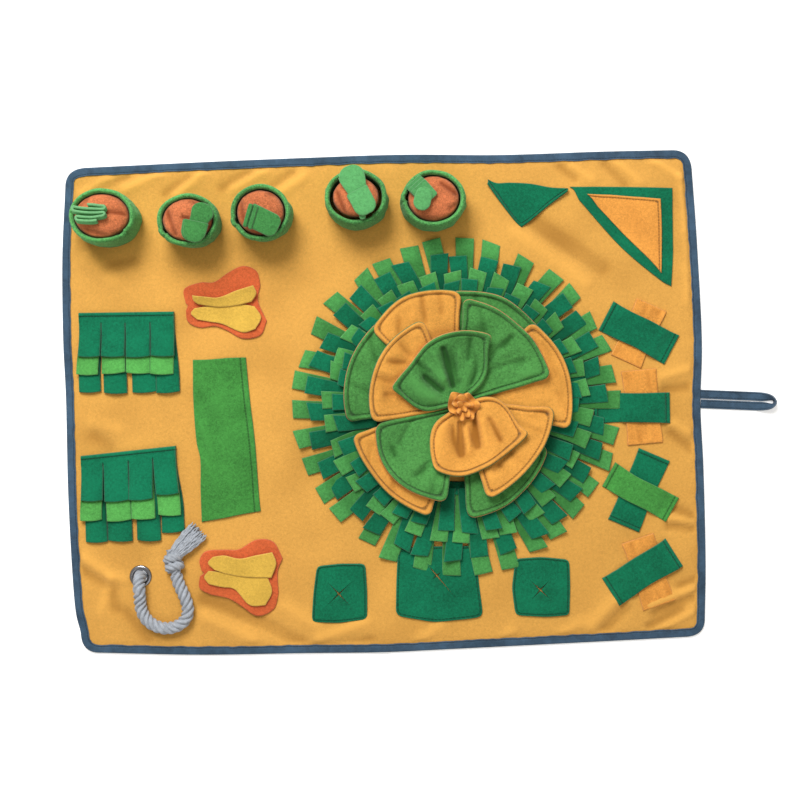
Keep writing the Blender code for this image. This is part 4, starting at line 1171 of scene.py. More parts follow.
@dataclass
class BaseMat:
    """The golden base cloth, the tape round its edge and the loop that it hangs by."""

    finishes: Finishes
    half: tuple[float, float] = (358.0, 279.0)
    # The four sides between the rounded corners, each anticlockwise
    bottom: tuple = (
        (-330, -273), (-218, -279), (-105, -281), (-15, -283), (64, -282), (234, -279), (330, -277),
    )
    right: tuple = ((353, -256), (356, -191), (357, -89), (356, -16), (360, 58), (358, 171), (355, 248))
    top: tuple = ((333, 273), (252, 274), (139, 274), (26, 278), (-87, 278), (-200, 277), (-328, 275))
    left: tuple = ((-353, 252), (-359, 172), (-361, 82), (-360, 14), (-361, -99), (-358, -213), (-352, -250))
    # The tape: its grid's step, its width, height, the cloth's distance inside its fold, its own thickness,
    # its stitch line's distance from its free edge, half width and depth, and where and how much it is
    # thicker at its lap
    tape_step: float = 3.0
    tape_wide: float = 9.6
    tape_high: float = 3.6
    tape_fold: float = 1.2
    tape_cloth: float = 0.8
    tape_stitch: tuple[float, float, float] = (1.7, 0.8, 0.32)
    tape_end: tuple[float, float] = (-25.0, -4.0)
    tape_lap: float = 0.7
    # The base cloth's grid: its first lines in from its own edge, its step, and the cloth's least thickness
    near_tape: tuple = (2.8, 6.3, 9.3, 11.3, 13.3, 15.8, 18.8)
    cloth_step: float = 3.8
    cloth_least: float = 0.9
    # The eyelet's hole: its radius, the grid's cells cut out for it, and how far and up to where the grid
    # is pushed outwards
    hole: float = 10.2
    hole_cut: float = 5.0
    hole_push: float = 9.0
    hole_reach: float = 30.0
    # The soft folds' scale and their lowest point
    fold_scale: float = 1.6
    fold_lowest: float = -2.1
    # Soft folds: start x, y, end x, y, half width, height
    folds: tuple = (
        (-335, 246, -302, 261, 5, 1.8), (-318, 250, -281, 264, 5, -1.3), (-285, 249, -245, 265, 6, 2),
        (-240, 243, -211, 261, 5, -1.4), (-227, 241, -197, 265, 6, 2.2), (-176, 247, -144, 264, 5, -1.3),
        (-162, 246, -128, 264, 6, 2), (-124, 243, -96, 262, 5, -1.3), (-111, 239, -83, 257, 6, 1.9),
        (-329, 173, -303, 147, 9, 1.5), (-307, 161, -278, 167, 8, -1.5), (-347, -164, -316, -188, 7, 2),
        (-316, -188, -301, -191, 6, 1.4), (-348, -179, -315, -200, 7, -1.6),
        (-315, -209, -311, -223, 6, -1.8), (-329, -227, -319, -202, 6, 1.3),
        (-300, -228, -276, -260, 6, -1.2), (-211, -217, -171, -231, 7, -1.9),
        (-171, -231, -105, -269, 7, -2), (-212, -235, -159, -262, 8, 1.8), (-121, -227, -86, -250, 8, 1.5),
        (-84, -265, -30, -248, 7, 1.8), (-71, -276, -24, -268, 5, -1.2), (313, 261, 341, 242, 5, 2.2),
        (341, 242, 346, 182, 4, 1.8), (346, 182, 345, 103, 4, 1.2), (256, 261, 279, 236, 5, -1.6),
        (272, 260, 296, 238, 5, 1.8), (206, 259, 223, 245, 5, -1.5), (220, 258, 242, 242, 5, 1.6),
        (174, 199, 250, 143, 9, -2), (154, 186, 230, 127, 9, 1.5), (314, 18, 346, 26, 5, 1.8),
        (315, 3, 347, 6, 5, -1.6), (322, -46, 344, -65, 5, -1.8), (325, -36, 347, -50, 5, 1.6),
        (315, -151, 346, -155, 4.5, -2), (324, -132, 344, -142, 4.5, -2), (317, -142, 344, -148, 4, 1.9),
        (296, -248, 343, -231, 4.5, -1.9), (291, -240, 341, -222, 5, 2.1),
        (290, -263, 327, -246, 4.5, -1.8), (301, -267, 340, -248, 4.5, 1.9),
        (326, -219, 344, -213, 4, -1.7), (238, -267, 264, -241, 6, -1.8), (223, -261, 253, -232, 7, 1.4),
        (31, -270, 54, -255, 6, 1.3), (121, -275, 135, -262, 6, 1.3), (189, -269, 212, -256, 6, 1.4),
        (-329, -28, -312, -42, 8, -1), (-331, -14, -302, -22, 8, 1.2),
    )
    # The loop: its ends in x, its root in y, its two sides' distance from its middle line, that line's slope,
    # its height, width and thickness, the degrees of turn that count as a mm of its way, and its flat size
    loop_start: float = 356.5
    loop_end: float = 441.0
    loop_root: float = -9.0
    loop_apart: float = 5.5
    loop_slope: float = -0.075
    loop_level: float = 1.2
    loop_wide: float = 10.0
    loop_thick: float = 1.8
    loop_roll: float = 20.0
    loop_cut: tuple[float, float] = (10.0, 180.0)
    # Where its sides run to after its root, in x; then its turn on to its edge, in x back from its end, out
    # from the middle line, height and degrees of turn
    loop_runs: tuple = (372, 388, 404)
    loop_turn: tuple = ((22, 5.5, 1.2, 0), (9, 4.9, 4.4, 45), (3, 2.8, 5.05, 82), (1.6, 0, 5.1, 90))

    def build(self) -> None:
        """Makes the base cloth, the tape and the loop."""
        cloth = dress(self.cloth(), ["mat_panel"])
        dress(self.tape(), ["edge_binding"])
        loop = dress(self.loop(), ["hang_loop"])

    def sides(self) -> list[Array]:
        """The four sides' smooth lines, each from the middle of the corner before to that of the next: the
        corners are quadratic curves whose middle control is the crossing of the two sides."""
        tables = [np.array(side, float) for side in (self.bottom, self.right, self.top, self.left)]
        lines, arcs = [smooth(table, 2.0) for table in tables], []
        t = np.linspace(0, 1, 33)[:, None]
        for k in range(4):
            start, end = tables[k][-1], tables[(k + 1) % 4][0]
            corner = np.array([end[0], start[1]] if k % 2 == 0 else [start[0], end[1]])
            arcs.append((1 - t) ** 2 * start + 2 * t * (1 - t) * corner + t**2 * end)
        return [np.concatenate([arcs[k - 1][16:-1], lines[k], arcs[k][1:17]]) for k in range(4)]

    def cloth(self) -> bpy.types.Object:
        """The base cloth: a blend of its four sides, each point the sum of the lines across both ways less
        the blend of the four corners, with a flat underside, soft folds and puckers along the tape."""
        curves = self.sides()
        lower, right, upper, left = curves[0], curves[1], curves[2][::-1], curves[3][::-1]

        def read(curve: Array, at: Array) -> Array:
            """The curve at shares of its length."""
            far = lengths(curve)
            return np.stack([np.interp(at * far[-1], far, column) for column in curve.T], axis=-1)

        def shares(curve: Array) -> Array:
            """Shares of a side's length, from inside the tape's fold to inside the one at its other end."""
            far = lengths(curve)[-1]
            inside = stations(far - 2 * self.tape_fold, self.cloth_step, self.near_tape)
            return (self.tape_fold + inside) / far

        u, v = shares(lower), shares(right)
        a, b = u[:, None, None], v[None, :, None]
        grid = (1 - b) * read(lower, u)[:, None] + b * read(upper, u)[:, None]
        grid = grid + (1 - a) * read(left, v)[None] + a * read(right, v)[None]
        grid -= (1 - a) * ((1 - b) * lower[0] + b * upper[0]) + a * ((1 - b) * lower[-1] + b * upper[-1])
        lie = Lie.of(grid)
        inward = lie.inward + self.tape_fold
        away = grid - np.array(EYELET)
        far = np.linalg.norm(away, axis=-1)
        mask = 0.25 * (far[1:, 1:] + far[:-1, 1:] + far[1:, :-1] + far[:-1, :-1]) > self.hole_cut
        pushed = np.sqrt(far**2 + self.hole_push**2 * np.clip(1 - (far / self.hole_reach) ** 2, 0, 1))
        rim = ~np.pad(mask, 1, constant_values=True)
        near_hole = rim[1:, 1:] | rim[:-1, 1:] | rim[1:, :-1] | rim[:-1, :-1]
        pushed = np.where(near_hole, self.hole, pushed)
        grid = np.array(EYELET) + away * (pushed / np.maximum(far, 1e-6))[..., None]
        lift = np.maximum(self.fold_scale * folds(grid, self.folds), self.fold_lowest)
        lift = lift * ease(inward, 10.5, 15.0)
        # Painted shade in the folds' troughs and a painted highlight on their ridges, with broad random tone
        deep = -lift / 4.0 + 0.22 * ripple(grid, 90, 5)
        open_mat = ease(inward, 12.0, 22.0)
        lift += 0.16 * ripple(grid, 70, 3) * open_mat
        strength = 0.55 + 0.25 * ripple(grid, 160, 8) + 0.3 * ease(grid[..., 0], 250, 350)
        wave = ripple(np.stack([lie.along, 0.15 * inward + 40], axis=-1), 17, 11)
        fade = np.exp(-np.clip(inward - 11, 0, None) / 7.0) * ease(inward, 9.5, 12.5)
        lift += np.clip(strength, 0.1, 1.2) * wave * fade
        pinch = ease(inward, self.tape_wide + 0.6, self.tape_wide + 6.0)
        pinch = np.where(inward > self.tape_wide + 0.8, pinch, 0.0)
        bottom = 1.1 * (1 - pinch)
        top = np.maximum(2.5 + 0.5 * pinch + lift, self.cloth_least)
        upper_grid = np.concatenate([grid, top[..., None]], axis=-1)
        lower_grid = np.concatenate([grid, np.minimum(bottom, top - self.cloth_least)[..., None]], axis=-1)
        form = Form()
        form.shell(upper_grid, lower_grid, lie.marks(deep), mask)
        return form.put("base_cloth", self.finishes.get("gold"))

    def tape(self) -> bpy.types.Object:
        """The tape: a folded strip carried round the outline, its inner edge a little wavy, its upper face
        puckered and drawn down along the stitches, and thicker where its two ends lap. Its lining is the
        same profile drawn in by the tape's own thickness."""
        curves = self.sides()
        outline = smooth(np.concatenate([curve[:-1] for curve in curves] + [curves[0][:1]]), self.tape_step)
        line = outline[:-1]
        far = lengths(outline)[:-1]
        way = unit(np.roll(line, -1, axis=0) - np.roll(line, 1, axis=0))
        inwards = np.column_stack([-way[:, 1], way[:, 0]])
        place = np.column_stack([far, np.zeros_like(far)])
        wide = self.tape_wide + 0.55 * ripple(place, 24, 21) + 0.25 * ripple(place, 9, 22)
        above, below = 13, 7
        share = np.concatenate([np.linspace(1, 0.05, above), [0.0], np.linspace(0.05, 1, below)])
        upper, fold = np.arange(len(share)) < above, np.arange(len(share)) == above
        depth = wide[:, None] * share
        crown = rounding(depth, 1.8)
        middle = self.tape_high / 2
        z = np.where(upper, middle * (1 + crown), middle * (1 - crown))
        pucker = 0.30 * ripple(place, 9, 23) + 0.22 * ripple(place, 21, 24)
        gap = wide[:, None] * (1 - share)
        stitch, stitch_half, stitch_deep = self.tape_stitch
        press = stitch_deep * bell(gap, stitch, stitch_half)
        z += np.where(upper, ease(depth, 2, 8) * (pucker[:, None] + 0.25) - press, 0)
        x = line[:, None, 0] + inwards[:, None, 0] * depth
        low, high = self.tape_end
        lap = ease(x, low, low + 2) * ease(-x, -high, 2 - high) * (line[:, None, 1] < 0)
        z += np.where(upper, self.tape_lap * lap, 0)
        cloth = self.tape_cloth
        lining_z = np.where(upper, np.maximum(z - cloth, middle + 0.75), np.minimum(z + cloth, middle - 0.75))
        lining_z = np.where(fold, middle, lining_z)
        both = np.concatenate([depth, np.maximum(depth, cloth)[:, ::-1]], axis=1)
        flat = line[:, None] + inwards[:, None] * both[..., None]
        rings = np.concatenate([flat, np.concatenate([z, lining_z[:, ::-1]], axis=1)[..., None]], axis=-1)
        gaps = np.concatenate([gap, gap[:, ::-1]], axis=1)
        form = Form()
        form.ring(rings, mark(far[:, None], gaps), closed=True)
        return form.put("sewn_edge_tape", self.finishes.get("tape"))

    def loop(self) -> bpy.types.Object:
        """The loop: a flat tape that runs out, turns on its edge at the end and runs back."""
        apart, level = self.loop_apart, self.loop_level
        half = [(self.loop_end - x, apart, level, 0) for x in (self.loop_start, *self.loop_runs)]
        half += list(self.loop_turn[:-1])
        back = [(a, -b, z, roll) for a, b, z, roll in half[::-1]]
        rows = np.array(half + [self.loop_turn[-1]] + back, float)
        path = smooth(rows * [1, 1, 1, 1 / self.loop_roll], 1.2)
        roll = np.radians(path[:, 3] * self.loop_roll)[:, None]
        path[:, 0] = self.loop_end - path[:, 0]
        path[:, 1] += self.loop_root + self.loop_slope * (path[:, 0] - self.loop_start)
        path = path[:, :3]
        way = unit(np.gradient(path[:, :2], axis=0))
        side = np.column_stack([-way[:, 1], way[:, 0], np.zeros(len(way))])
        across = side * np.cos(roll) + UP * np.sin(roll)
        through = side * np.sin(roll) - UP * np.cos(roll)
        share = np.array([0, 0.2, 0.3, 0.36, 0.44, 0.49, 0.5])
        share = np.concatenate([-share[:0:-1], share])
        inward = self.loop_wide * (0.5 - np.abs(share))
        thick = self.loop_thick * (0.45 + 0.55 * rounding(inward, 0.9))
        thick -= 0.25 * bell(inward, 1.7, 0.6)
        place = path[:, None] + across[:, None] * (self.loop_wide * share)[:, None]
        half_thick = through[:, None] * (0.5 * thick)[:, None]
        form = Form()
        form.shell(place + half_thick, place - half_thick, mark(lengths(path)[:, None], inward))
        return form.put("tape_hang_loop", self.finishes.get("tape"))


# ---------------------------------------------------------------------------------------------------------
# Cups and toys


@dataclass
class CarrotRow:
    """Five cups of cloth, each with a stuffed toy that has a folded leaf strip on its crown."""

    finishes: Finishes
    high: float = 48.0
    wall: float = 4.0
    # Rim centre x, y, rim half width, half depth, base half width, half depth, the seam's place in degrees
    cups: tuple = (
        (-303, 213.5, 35.5, 29.5, 35.5, 30.0, -48),
        (-209, 206, 33.0, 28.5, 32.0, 26.0, 208),
        (-129, 211.5, 32.0, 30.5, 32.5, 26.0, 200),
        (-24, 225, 33.5, 30.0, 34.0, 31.0, -60),
        (61, 220.5, 34.0, 30.5, 35.5, 31.0, 176),
    )
    # The mean radius that a cup's folds are measured round, and how many points lie along and round one
    cup_round: float = 34.0
    cup_points: tuple[int, int] = (61, 144)
    # How far a cup's wall folds, its rim waves up and down and in and out, and its seam stands out
    cup_fold: float = 1.2
    rim_wave: float = 1.6
    rim_sway: float = 0.45
    cup_seam: float = 1.2
    # The space between each toy and its cup, and what is always left on top of it
    rooms: tuple = (0.3, 0.4, 0.8, 3.0, 0.8)
    room_least: float = 1.0
    # The toy's form: height and share of its full width
    toy_form: tuple = (
        (3.3, 0.35), (10, 0.62), (24, 0.88), (38, 0.98), (46, 1.0), (50, 0.95), (53.2, 0.79), (55.4, 0.5),
        (56.2, 0.2),
    )
    # How many points lie along and round it before it is remeshed
    toy_points: tuple[int, int] = (30, 64)
    # Creases on each toy's crown: start x, y, end x, y, half width, height
    creases: tuple = (
        ((-296, 217, -271, 213, 2.4, -2.2), (-318, 198, -300, 192, 3, -1.6), (-326, 222, -318, 232, 3, -1.2)),
        ((-213, 208, -185, 197, 2.2, -2.4), (-230, 215, -222, 190, 2.6, -1.8),
         (-205, 226, -190, 222, 3, -1.4)),
        ((-118, 232, -100, 226, 2.4, -2.4), (-150, 222, -146, 200, 3, -1.8), (-135, 188, -112, 190, 3, -1.4)),
        ((-44, 230, -36, 208, 2.4, -2.2), (-38, 240, -20, 238, 2.6, -1.8), (-14, 206, 2, 212, 2.6, -1.8)),
        ((70, 236, 86, 224, 2.6, -2.2), (46, 200, 66, 196, 3.0, -1.8), (78, 208, 88, 214, 2.6, -1.4)),
    )
    crease_scale: float = 1.3
    # The filling: the remeshed cells' size in metres, its pressure, its frames and the most it moves a point
    # in metres
    voxel: float = 0.004
    pressure: float = 2.0
    frames: int = 12
    most_moved: float = 0.003
    # The first toy's leaf strip: the height of its middle line and the radius of its folds
    leaf_level: float = 61.0
    leaf_bend: float = 2.1
    # The first toy's leaf strip stands on edge: held at x, y, heading, width, thickness, then distance and
    # offset of its folded path
    edge_leaf: tuple = (-313, 214, -4, 9, 3.1, (
        (-2, 9), (17, 8.6), (17, 4.4), (-18, 4.6), (-18, 0.2), (17, 0), (17, -4.6), (-14, -5), (-14, -9.2),
        (9, -8.6),
    ))
    # The tabs of the other leaf strips: root x, y, tip x, y, root and tip width, root and tip rounding,
    # root and tip height, bow and thickness
    leaf_tabs: tuple = (
        ((-198, 198, -186, 221, 19, 26, 3, 12, 57.4, 59.6, 0.8, 2.0),
         (-200, 203, -205.5, 181, 25, 24, 1.5, 11, 58.0, 56.9, 0.6, 1.8),
         (-197.2, 202.5, -202.8, 180, 27, 25, 1.5, 12, 60.6, 58.8, 1.0, 2.0)),
        ((-141, 209, -109, 192, 26, 26, 2, 9, 57.4, 57.0, 1.4, 2.0),
         (-137.3, 219.5, -145.6, 194.5, 5.4, 5.0, 2, 2, 58.2, 58.0, 0.4, 4.2),
         (-131.6, 216.8, -139.9, 191.8, 5.0, 4.8, 2, 2, 58.8, 58.6, 0.5, 4.0)),
        ((-18.5, 221, -31.5, 257, 20, 29, 3, 13, 57.2, 59.6, 1.0, 2.0),
         (-22.5, 228, -16.5, 199, 23, 7, 1.5, 3, 58.2, 55.8, 0.4, 1.8),
         (-22.5, 230.5, -10.0, 204.5, 25, 25, 1.5, 10, 61.6, 60.0, 1.2, 2.4)),
        ((38.6, 239.2, 52.6, 222.5, 21, 21, 1.5, 3, 55.6, 55.6, 0.2, 1.8),
         (41.2, 236.4, 55.2, 219.7, 21, 21, 1.5, 3, 57.8, 57.6, 0.2, 1.8),
         (43.8, 233.6, 57.8, 216.9, 21, 21, 1.5, 3, 60.0, 59.6, 0.2, 1.8),
         (52.5, 230.6, 45.6, 206.5, 18, 19, 8, 9, 62.0, 59.4, 0.6, 2.0)),
    )
    # The toys whose leaf strips take the darker copy of the leaf finish, painted shade, and the last toy's
    # pleats, which lie in painted shade: how strong it is and the least width of a tab that is one
    deep_leaves: tuple = (2, 3)
    pleat_deep: float = 0.30
    pleat_wide: float = 20.0

    def build(self) -> None:
        """Makes each cup, its toy and the toy's leaves."""
        for k, cup in enumerate(self.cups):
            pot = dress(self.pot(k + 1, cup), [f"carrot_pot_{k + 1}"])
            around = math.pi * (cup[2] + cup[3])
            toy = dress(self.toy(k + 1, cup, self.rooms[k]), [f"carrot_{k + 1}"])
            leaf, flat = self.tabs(k + 1, self.leaf_tabs[k - 1]) if k else self.leaf(self.edge_leaf)
            dress(leaf, [f"carrot_leaves_{k + 1}"])
            flat[0] * MM
            flat[1] * MM

    def pot(self, number: int, cup: tuple) -> bpy.types.Object:
        """A cup: a closed profile carried round an oval, its rim rolled over and a little uneven, its wall in
        soft upright folds that fade at the rim.

        Args:
            number: its place in the row.
            cup: its row of the table.

        Returns:
            The object.
        """
        x, y, rim_x, rim_y, base_x, base_y, seam = cup
        low, high, wall = LEVEL_1, LEVEL_1 + self.high, self.wall
        # Each knot: inwards from the outer face, height, share of the base's size, share of the folds
        knots = np.array([
            (0, low, 1, 0.4), (-1.4, low + 14, 0.8, 1), (-1.2, low + 28, 0.4, 1), (-0.2, high - 11, 0.1, 0.7),
            (0.7, high - 8.6, 0, 0.3), (-0.3, high - 7.2, 0, 0.2), (-0.7, high - 4.2, 0, 0.1),
            (0.1, high - 1.5, 0, 0), (1.7, high + 0.1, 0, 0), (3.3, high - 0.6, 0, 0),
            (4.4, high - 2.6, 0, 0), (4.6, high - 5.6, 0, 0.1), (4.2, high - 8.4, 0, 0.2),
            (wall, high - 12, 0, 0.3),
            (wall, high - 24, 0.3, 0), (wall, low, 1, 0),
        ])
        count, sides = self.cup_points
        profile = spline(knots, np.linspace(0, len(knots) - 1, count))
        turn = TAU * np.arange(sides) / sides
        place = np.column_stack([np.cos(turn), np.sin(turn)]) * self.cup_round
        inwards, z, base, folded = profile.T
        wave = ripple(place, 26, 40 + number)[:, None] + 0.5 * ripple(place, 11, 50 + number)[:, None]
        off = (np.degrees(turn) - seam + 180) % 360 - 180
        lap = (ease(off, -9, -7) * ease(-off, -9, -7) - 1.2 * bell(off, 8.5, 1.6)) * self.cup_seam
        inwards = inwards + self.cup_fold * wave * folded - lap[:, None] * ease(z, high - 30, high - 12)
        lifted = self.rim_wave * ripple(place, 60, 60 + number) + lap
        z = z + lifted[:, None] * ease(z, high - 12, high - 4)
        sway = self.rim_sway * ripple(place, 26, 80 + number)[:, None]
        inwards = inwards + sway * ease(z, high - 9, high - 4)
        half_x = base_x * base + rim_x * (1 - base) - inwards
        half_y = base_y * base + rim_y * (1 - base) - inwards
        rings = np.stack([x + half_x * np.cos(turn)[:, None], y + half_y * np.sin(turn)[:, None], z], axis=-1)
        rim_out = np.abs(lengths(profile[:, :2]) - lengths(profile[:, :2])[np.argmax(profile[:, 1])])
        form = Form()
        form.ring(rings, mark(turn[:, None] * self.cup_round, rim_out), closed=True)
        return form.put(f"cloth_cup_{number}", self.finishes.get("pot"))

    def toy(self, number: int, cup: tuple, room: float) -> bpy.types.Object:
        """A stuffed toy: an oval blunt cone, filled by cloth pressure, held inside its cup, with creases
        pressed into its crown.

        Args:
            number: its place in the row.
            cup: its cup's row of the table.
            room: the space between the two.

        Returns:
            The object.
        """
        x, y, rim_x, rim_y = cup[:4]
        half_x, half_y = (half - self.wall - self.room_least - room for half in (rim_x, rim_y))
        count, sides = self.toy_points
        form_line = spline(np.array(self.toy_form), np.linspace(0, len(self.toy_form) - 1, count))
        turn = TAU * np.arange(sides) / sides
        level, share = form_line[:, :1], form_line[:, 1:]
        rings = np.stack([x + half_x * share * np.cos(turn), y + half_y * share * np.sin(turn),
                          level + 0 * turn], axis=-1)
        form = Form()
        form.ring(rings, mark(rings[..., 0], rings[..., 1]))
        thing = form.put(f"stuffed_carrot_{number}", self.finishes.get("carrot"))
        self.fill(thing)
        mesh = thing.data
        flat = np.empty(3 * len(mesh.vertices))
        mesh.vertices.foreach_get("co", flat)
        points = flat.reshape(-1, 3) / MM
        crown = ease(points[:, 2], 46, 53)
        pressed = crown * folds(points, self.creases[number - 1])
        points[:, 2] += self.crease_scale * pressed + 0.6 * crown * ripple(points, 13, 70 + number)
        half = (half_x - 0.1, half_y - 0.1)
        out = (points[:, :2] - (x, y)) / half
        far = np.linalg.norm(out, axis=1)
        # Painted shade towards the cup's rim and in the creases, with random tone
        deep = 0.7 * ease(far, 0.9, 1.0) - pressed / 2.2 + 0.22 * ripple(points, 24, 75 + number)
        points[:, :2] = (x, y) + out / np.maximum(far, 1.0)[:, None] * half
        points[:, 2] = np.clip(points[:, 2], LEVEL_1 + 0.2, self.toy_form[-1][0])
        mesh.vertices.foreach_set("co", (points * MM).ravel())
        values = mesh.attributes.new("deep", "FLOAT", "POINT")
        values.data.foreach_set("value", np.clip(deep, -1, 1).astype(np.float32))
        mesh.update()
        return thing

    def fill(self, thing: bpy.types.Object) -> None:
        """Remeshes a form evenly and lets cloth pressure fill it. No point moves further than the most that
        the cup leaves it."""
        bpy.context.view_layer.objects.active = thing
        thing.select_set(True)
        remesh = thing.modifiers.new("even", "REMESH")
        remesh.mode, remesh.voxel_size = "VOXEL", self.voxel
        bpy.ops.object.modifier_apply(modifier=remesh.name)
        cloth = thing.modifiers.new("filling", "CLOTH")
        cloth.settings.use_pressure = True
        cloth.settings.uniform_pressure_force = self.pressure
        cloth.settings.effector_weights.gravity = 0.0
        cloth.settings.quality = 4
        cloth.point_cache.frame_start, cloth.point_cache.frame_end = 1, 20
        before = np.empty(3 * len(thing.data.vertices))
        thing.data.vertices.foreach_get("co", before)
        scene = bpy.context.scene
        for step in range(1, self.frames + 1):
            scene.frame_set(step)
        bpy.ops.object.modifier_apply(modifier=cloth.name)
        after = np.empty_like(before)
        thing.data.vertices.foreach_get("co", after)
        move = (after - before).reshape(-1, 3)
        far = np.maximum(np.linalg.norm(move, axis=1), 1e-9)[:, None]
        move *= np.minimum(1.0, self.most_moved / far)
        thing.data.vertices.foreach_set("co", (before.reshape(-1, 3) + move).ravel())
        scene.frame_set(1)
        finer = thing.modifiers.new("finer", "SUBSURF")
        finer.levels = finer.render_levels = 1
        bpy.ops.object.modifier_apply(modifier=finer.name)
        thing.data.shade_smooth()
        thing.select_set(False)

    def rounded(self, points: Rows) -> Array:
        """A line in a plane, its corners rounded by arcs of the leaves' bend where its legs leave room."""
        p = np.asarray(points, float)
        out = [p[:1]]
        for before, corner, after in zip(p, p[1:], p[2:]):
            way_in, way_out = corner - before, after - corner
            room = min(np.linalg.norm(way_in), np.linalg.norm(way_out)) / 2
            way_in, way_out = way_in / np.linalg.norm(way_in), way_out / np.linalg.norm(way_out)
            turn = math.atan2(way_in[0] * way_out[1] - way_in[1] * way_out[0], way_in @ way_out)
            bend = min(self.leaf_bend, room / math.tan(abs(turn) / 2))
            inwards = math.copysign(bend, turn) * np.array([-way_in[1], way_in[0]])
            middle = corner - way_in * bend * math.tan(abs(turn) / 2) + inwards
            a = turn * np.linspace(0, 1, 9)[:, None]
            out.append(middle - inwards * np.cos(a) - np.array([-inwards[1], inwards[0]]) * np.sin(a))
        return np.concatenate([*out, p[-1:]])

    def leaf(self, row: tuple) -> tuple[bpy.types.Object, tuple[float, float]]:
        """The first leaf strip, carried on edge along its folded path.

        Args:
            row: its row.

        Returns:
            The object and its flat size in mm.
        """
        x, y, heading, wide, thick, profile = row
        way, side = level_axes(heading)
        line = self.rounded(profile)
        far = lengths(line)
        at = stations(far[-1], 0.8, (0.4, 1.0, 1.8, 2.8, 4.0))
        run, offset = (np.interp(at, far, part)[:, None] for part in line.T)
        narrow = 1 - 0.22 * ease(run, 2, 18)
        path = np.array([x, y, self.leaf_level]) + way * run + side * (offset * narrow + 0.02 * run**2 / 4)
        through = np.cross(unit(np.gradient(path, axis=0)), UP)
        share = edged(21)
        inward = np.minimum(wide / 2 * (1 - np.abs(share)), np.minimum(at, far[-1] - at)[:, None])
        half = 0.5 * Hem(cloth=thick, edge=0.8, round=1.6).thick(inward)
        lean = 1.1 * share + 0 * inward
        place = path[:, None] + UP * (wide / 2 * share)[:, None] + side * lean[..., None]
        shift = through[:, None] * half[..., None]
        form = Form()
        form.shell(place + shift, place - shift, mark(at[:, None], inward))
        return form.put("folded_leaf_1", self.finishes.get("leaf")), (max(wide, 10.0), float(far[-1]))

    def tabs(self, number: int, rows: tuple) -> tuple[bpy.types.Object, tuple[float, float]]:
        """A leaf strip as the tabs that its folds make: each a grid whose sides round off at both ends and
        droop a little.

        Args:
            number: its place in the row.
            rows: its tabs.

        Returns:
            The object and its flat size in mm.
        """
        form, area = Form(), 0.0
        for x0, y0, x1, y1, wide, tip_wide, root_round, tip_round, z0, z1, bow, thick in rows:
            way = np.array([x1 - x0, y1 - y0, 0.0])
            length = np.linalg.norm(way)
            way /= length
            side = np.array([-way[1], way[0], 0.0])
            at = stations(length, 0.9, (0.15, 0.4, 0.8, 1.4, 2.2, 3.2, 4.4))[:, None]
            t = at / length
            half = 0.5 * (wide + (tip_wide - wide) * ease(t, 0.05, 0.75))
            for near, radius in ((at, root_round), (length - at, tip_round)):
                half = half - radius * (1 - rounding(near, radius))
            half = np.maximum(half, 0.5)
            share = edged(21)[None]
            inward = np.minimum(half * (1 - np.abs(share)), np.minimum(at, length - at))
            z = z0 + (z1 - z0) * t + bow * np.sin(math.pi * t) - 0.7 * np.abs(share) ** 3
            flat = np.array([x0, y0, 0.0]) + way * at[..., None] + side * (half * share)[..., None]
            bottom = flat + UP * (z + 0.15 * ripple(flat, 12, 90 + number))[..., None]
            top = bottom + UP * Hem(cloth=thick, edge=0.5, round=0.9).thick(inward)[..., None]
            # Painted shade: over the last toy's pleats, at each tab's root by the fold, and towards its
            # drooping sides
            pleated = self.pleat_deep if number == 5 and wide > self.pleat_wide else 0.0
            deep = pleated + 0.35 * np.exp(-at / 1.5) + 0.10 * np.abs(share) ** 6
            form.shell(top, bottom, mark(at, inward, deep=deep))
            area += length * 0.5 * (wide + tip_wide)
        strip = max(max(row[4:6]) for row in rows)
        # Some toys' strips take the darkened copy of the leaf finish: painted shade
        finish = "leaf_deep" if number in self.deep_leaves else "leaf"
        return form.put(f"folded_leaf_{number}", self.finishes.get(finish)), (strip, area / strip)


# ---------------------------------------------------------------------------------------------------------
# Flat cloth pieces


def lay_cloth(form: Form, rows: Sequence[Rows], level: float, hem: Hem, step: float = 1.8, seed: int = 1,
              creases: Rows = (), curl: float = 0.5, sewn: str = "abcd") -> None:
    """Adds a flat cloth: a smooth patch at a level, a little uneven, with its edges lifting in places.

    Args:
        form: takes it.
        rows: its coarse grid, x, y and height above the level.
        level: the height of its underside.
        hem: its thickness by the distance from its edge.
        step: its fine grid's step.
        seed: gives its unevenness.
        creases: rows of start x, y, end x, y, half width and height.
        curl: how far its edges lift.
        sewn: its sewn sides, as in Lie.
    """
    grid = patch(rows, step)
    if grid.shape[-1] == 2:
        grid = np.concatenate([grid, np.zeros((*grid.shape[:2], 1))], axis=-1)
    lie = Lie.of(grid, sewn)
    creased = folds(grid, creases)
    lift = settled(grid, 34, seed) + np.clip(creased, -UNEVEN, None)
    edge_lift = curl * np.exp(-lie.inward / 3.5) * np.clip(0.3 + ripple(grid, 26, seed + 1), 0, 1)
    bottom = grid + UP * level + UP * (lift + edge_lift)[..., None]
    top = bottom + UP * hem.thick(lie.inward, lie.seam)[..., None]
    # Random tone, with painted shade in the creases' troughs and a painted highlight on their ridges
    deep = 0.14 * ripple(grid, 36, seed + 5) - creased / 3.5
    form.shell(top, bottom, lie.marks(deep))


def fair_area(area: float, wide: float, long: float) -> float:
    """A sheet's area held between the least and the whole of the box of its flat size."""
    return min(max(area, LEAST_AREA * wide * long), wide * long)


def cut_size(rows: Sequence[Rows]) -> dict:
    grid = patch(rows, 8.0)[..., :2]
    rim = np.concatenate([grid[0], grid[1:, -1], grid[-1, -2::-1], grid[-2:0:-1, 0]])
    size = np.ptp(rim, axis=0)
    after = np.roll(rim, -1, axis=0)
    area = 0.5 * abs((rim[:, 0] * after[:, 1] - rim[:, 1] * after[:, 0]).sum())
    return {"flat": (size[0] * MM, size[1] * MM), "area": fair_area(area, *size) * MM * MM}


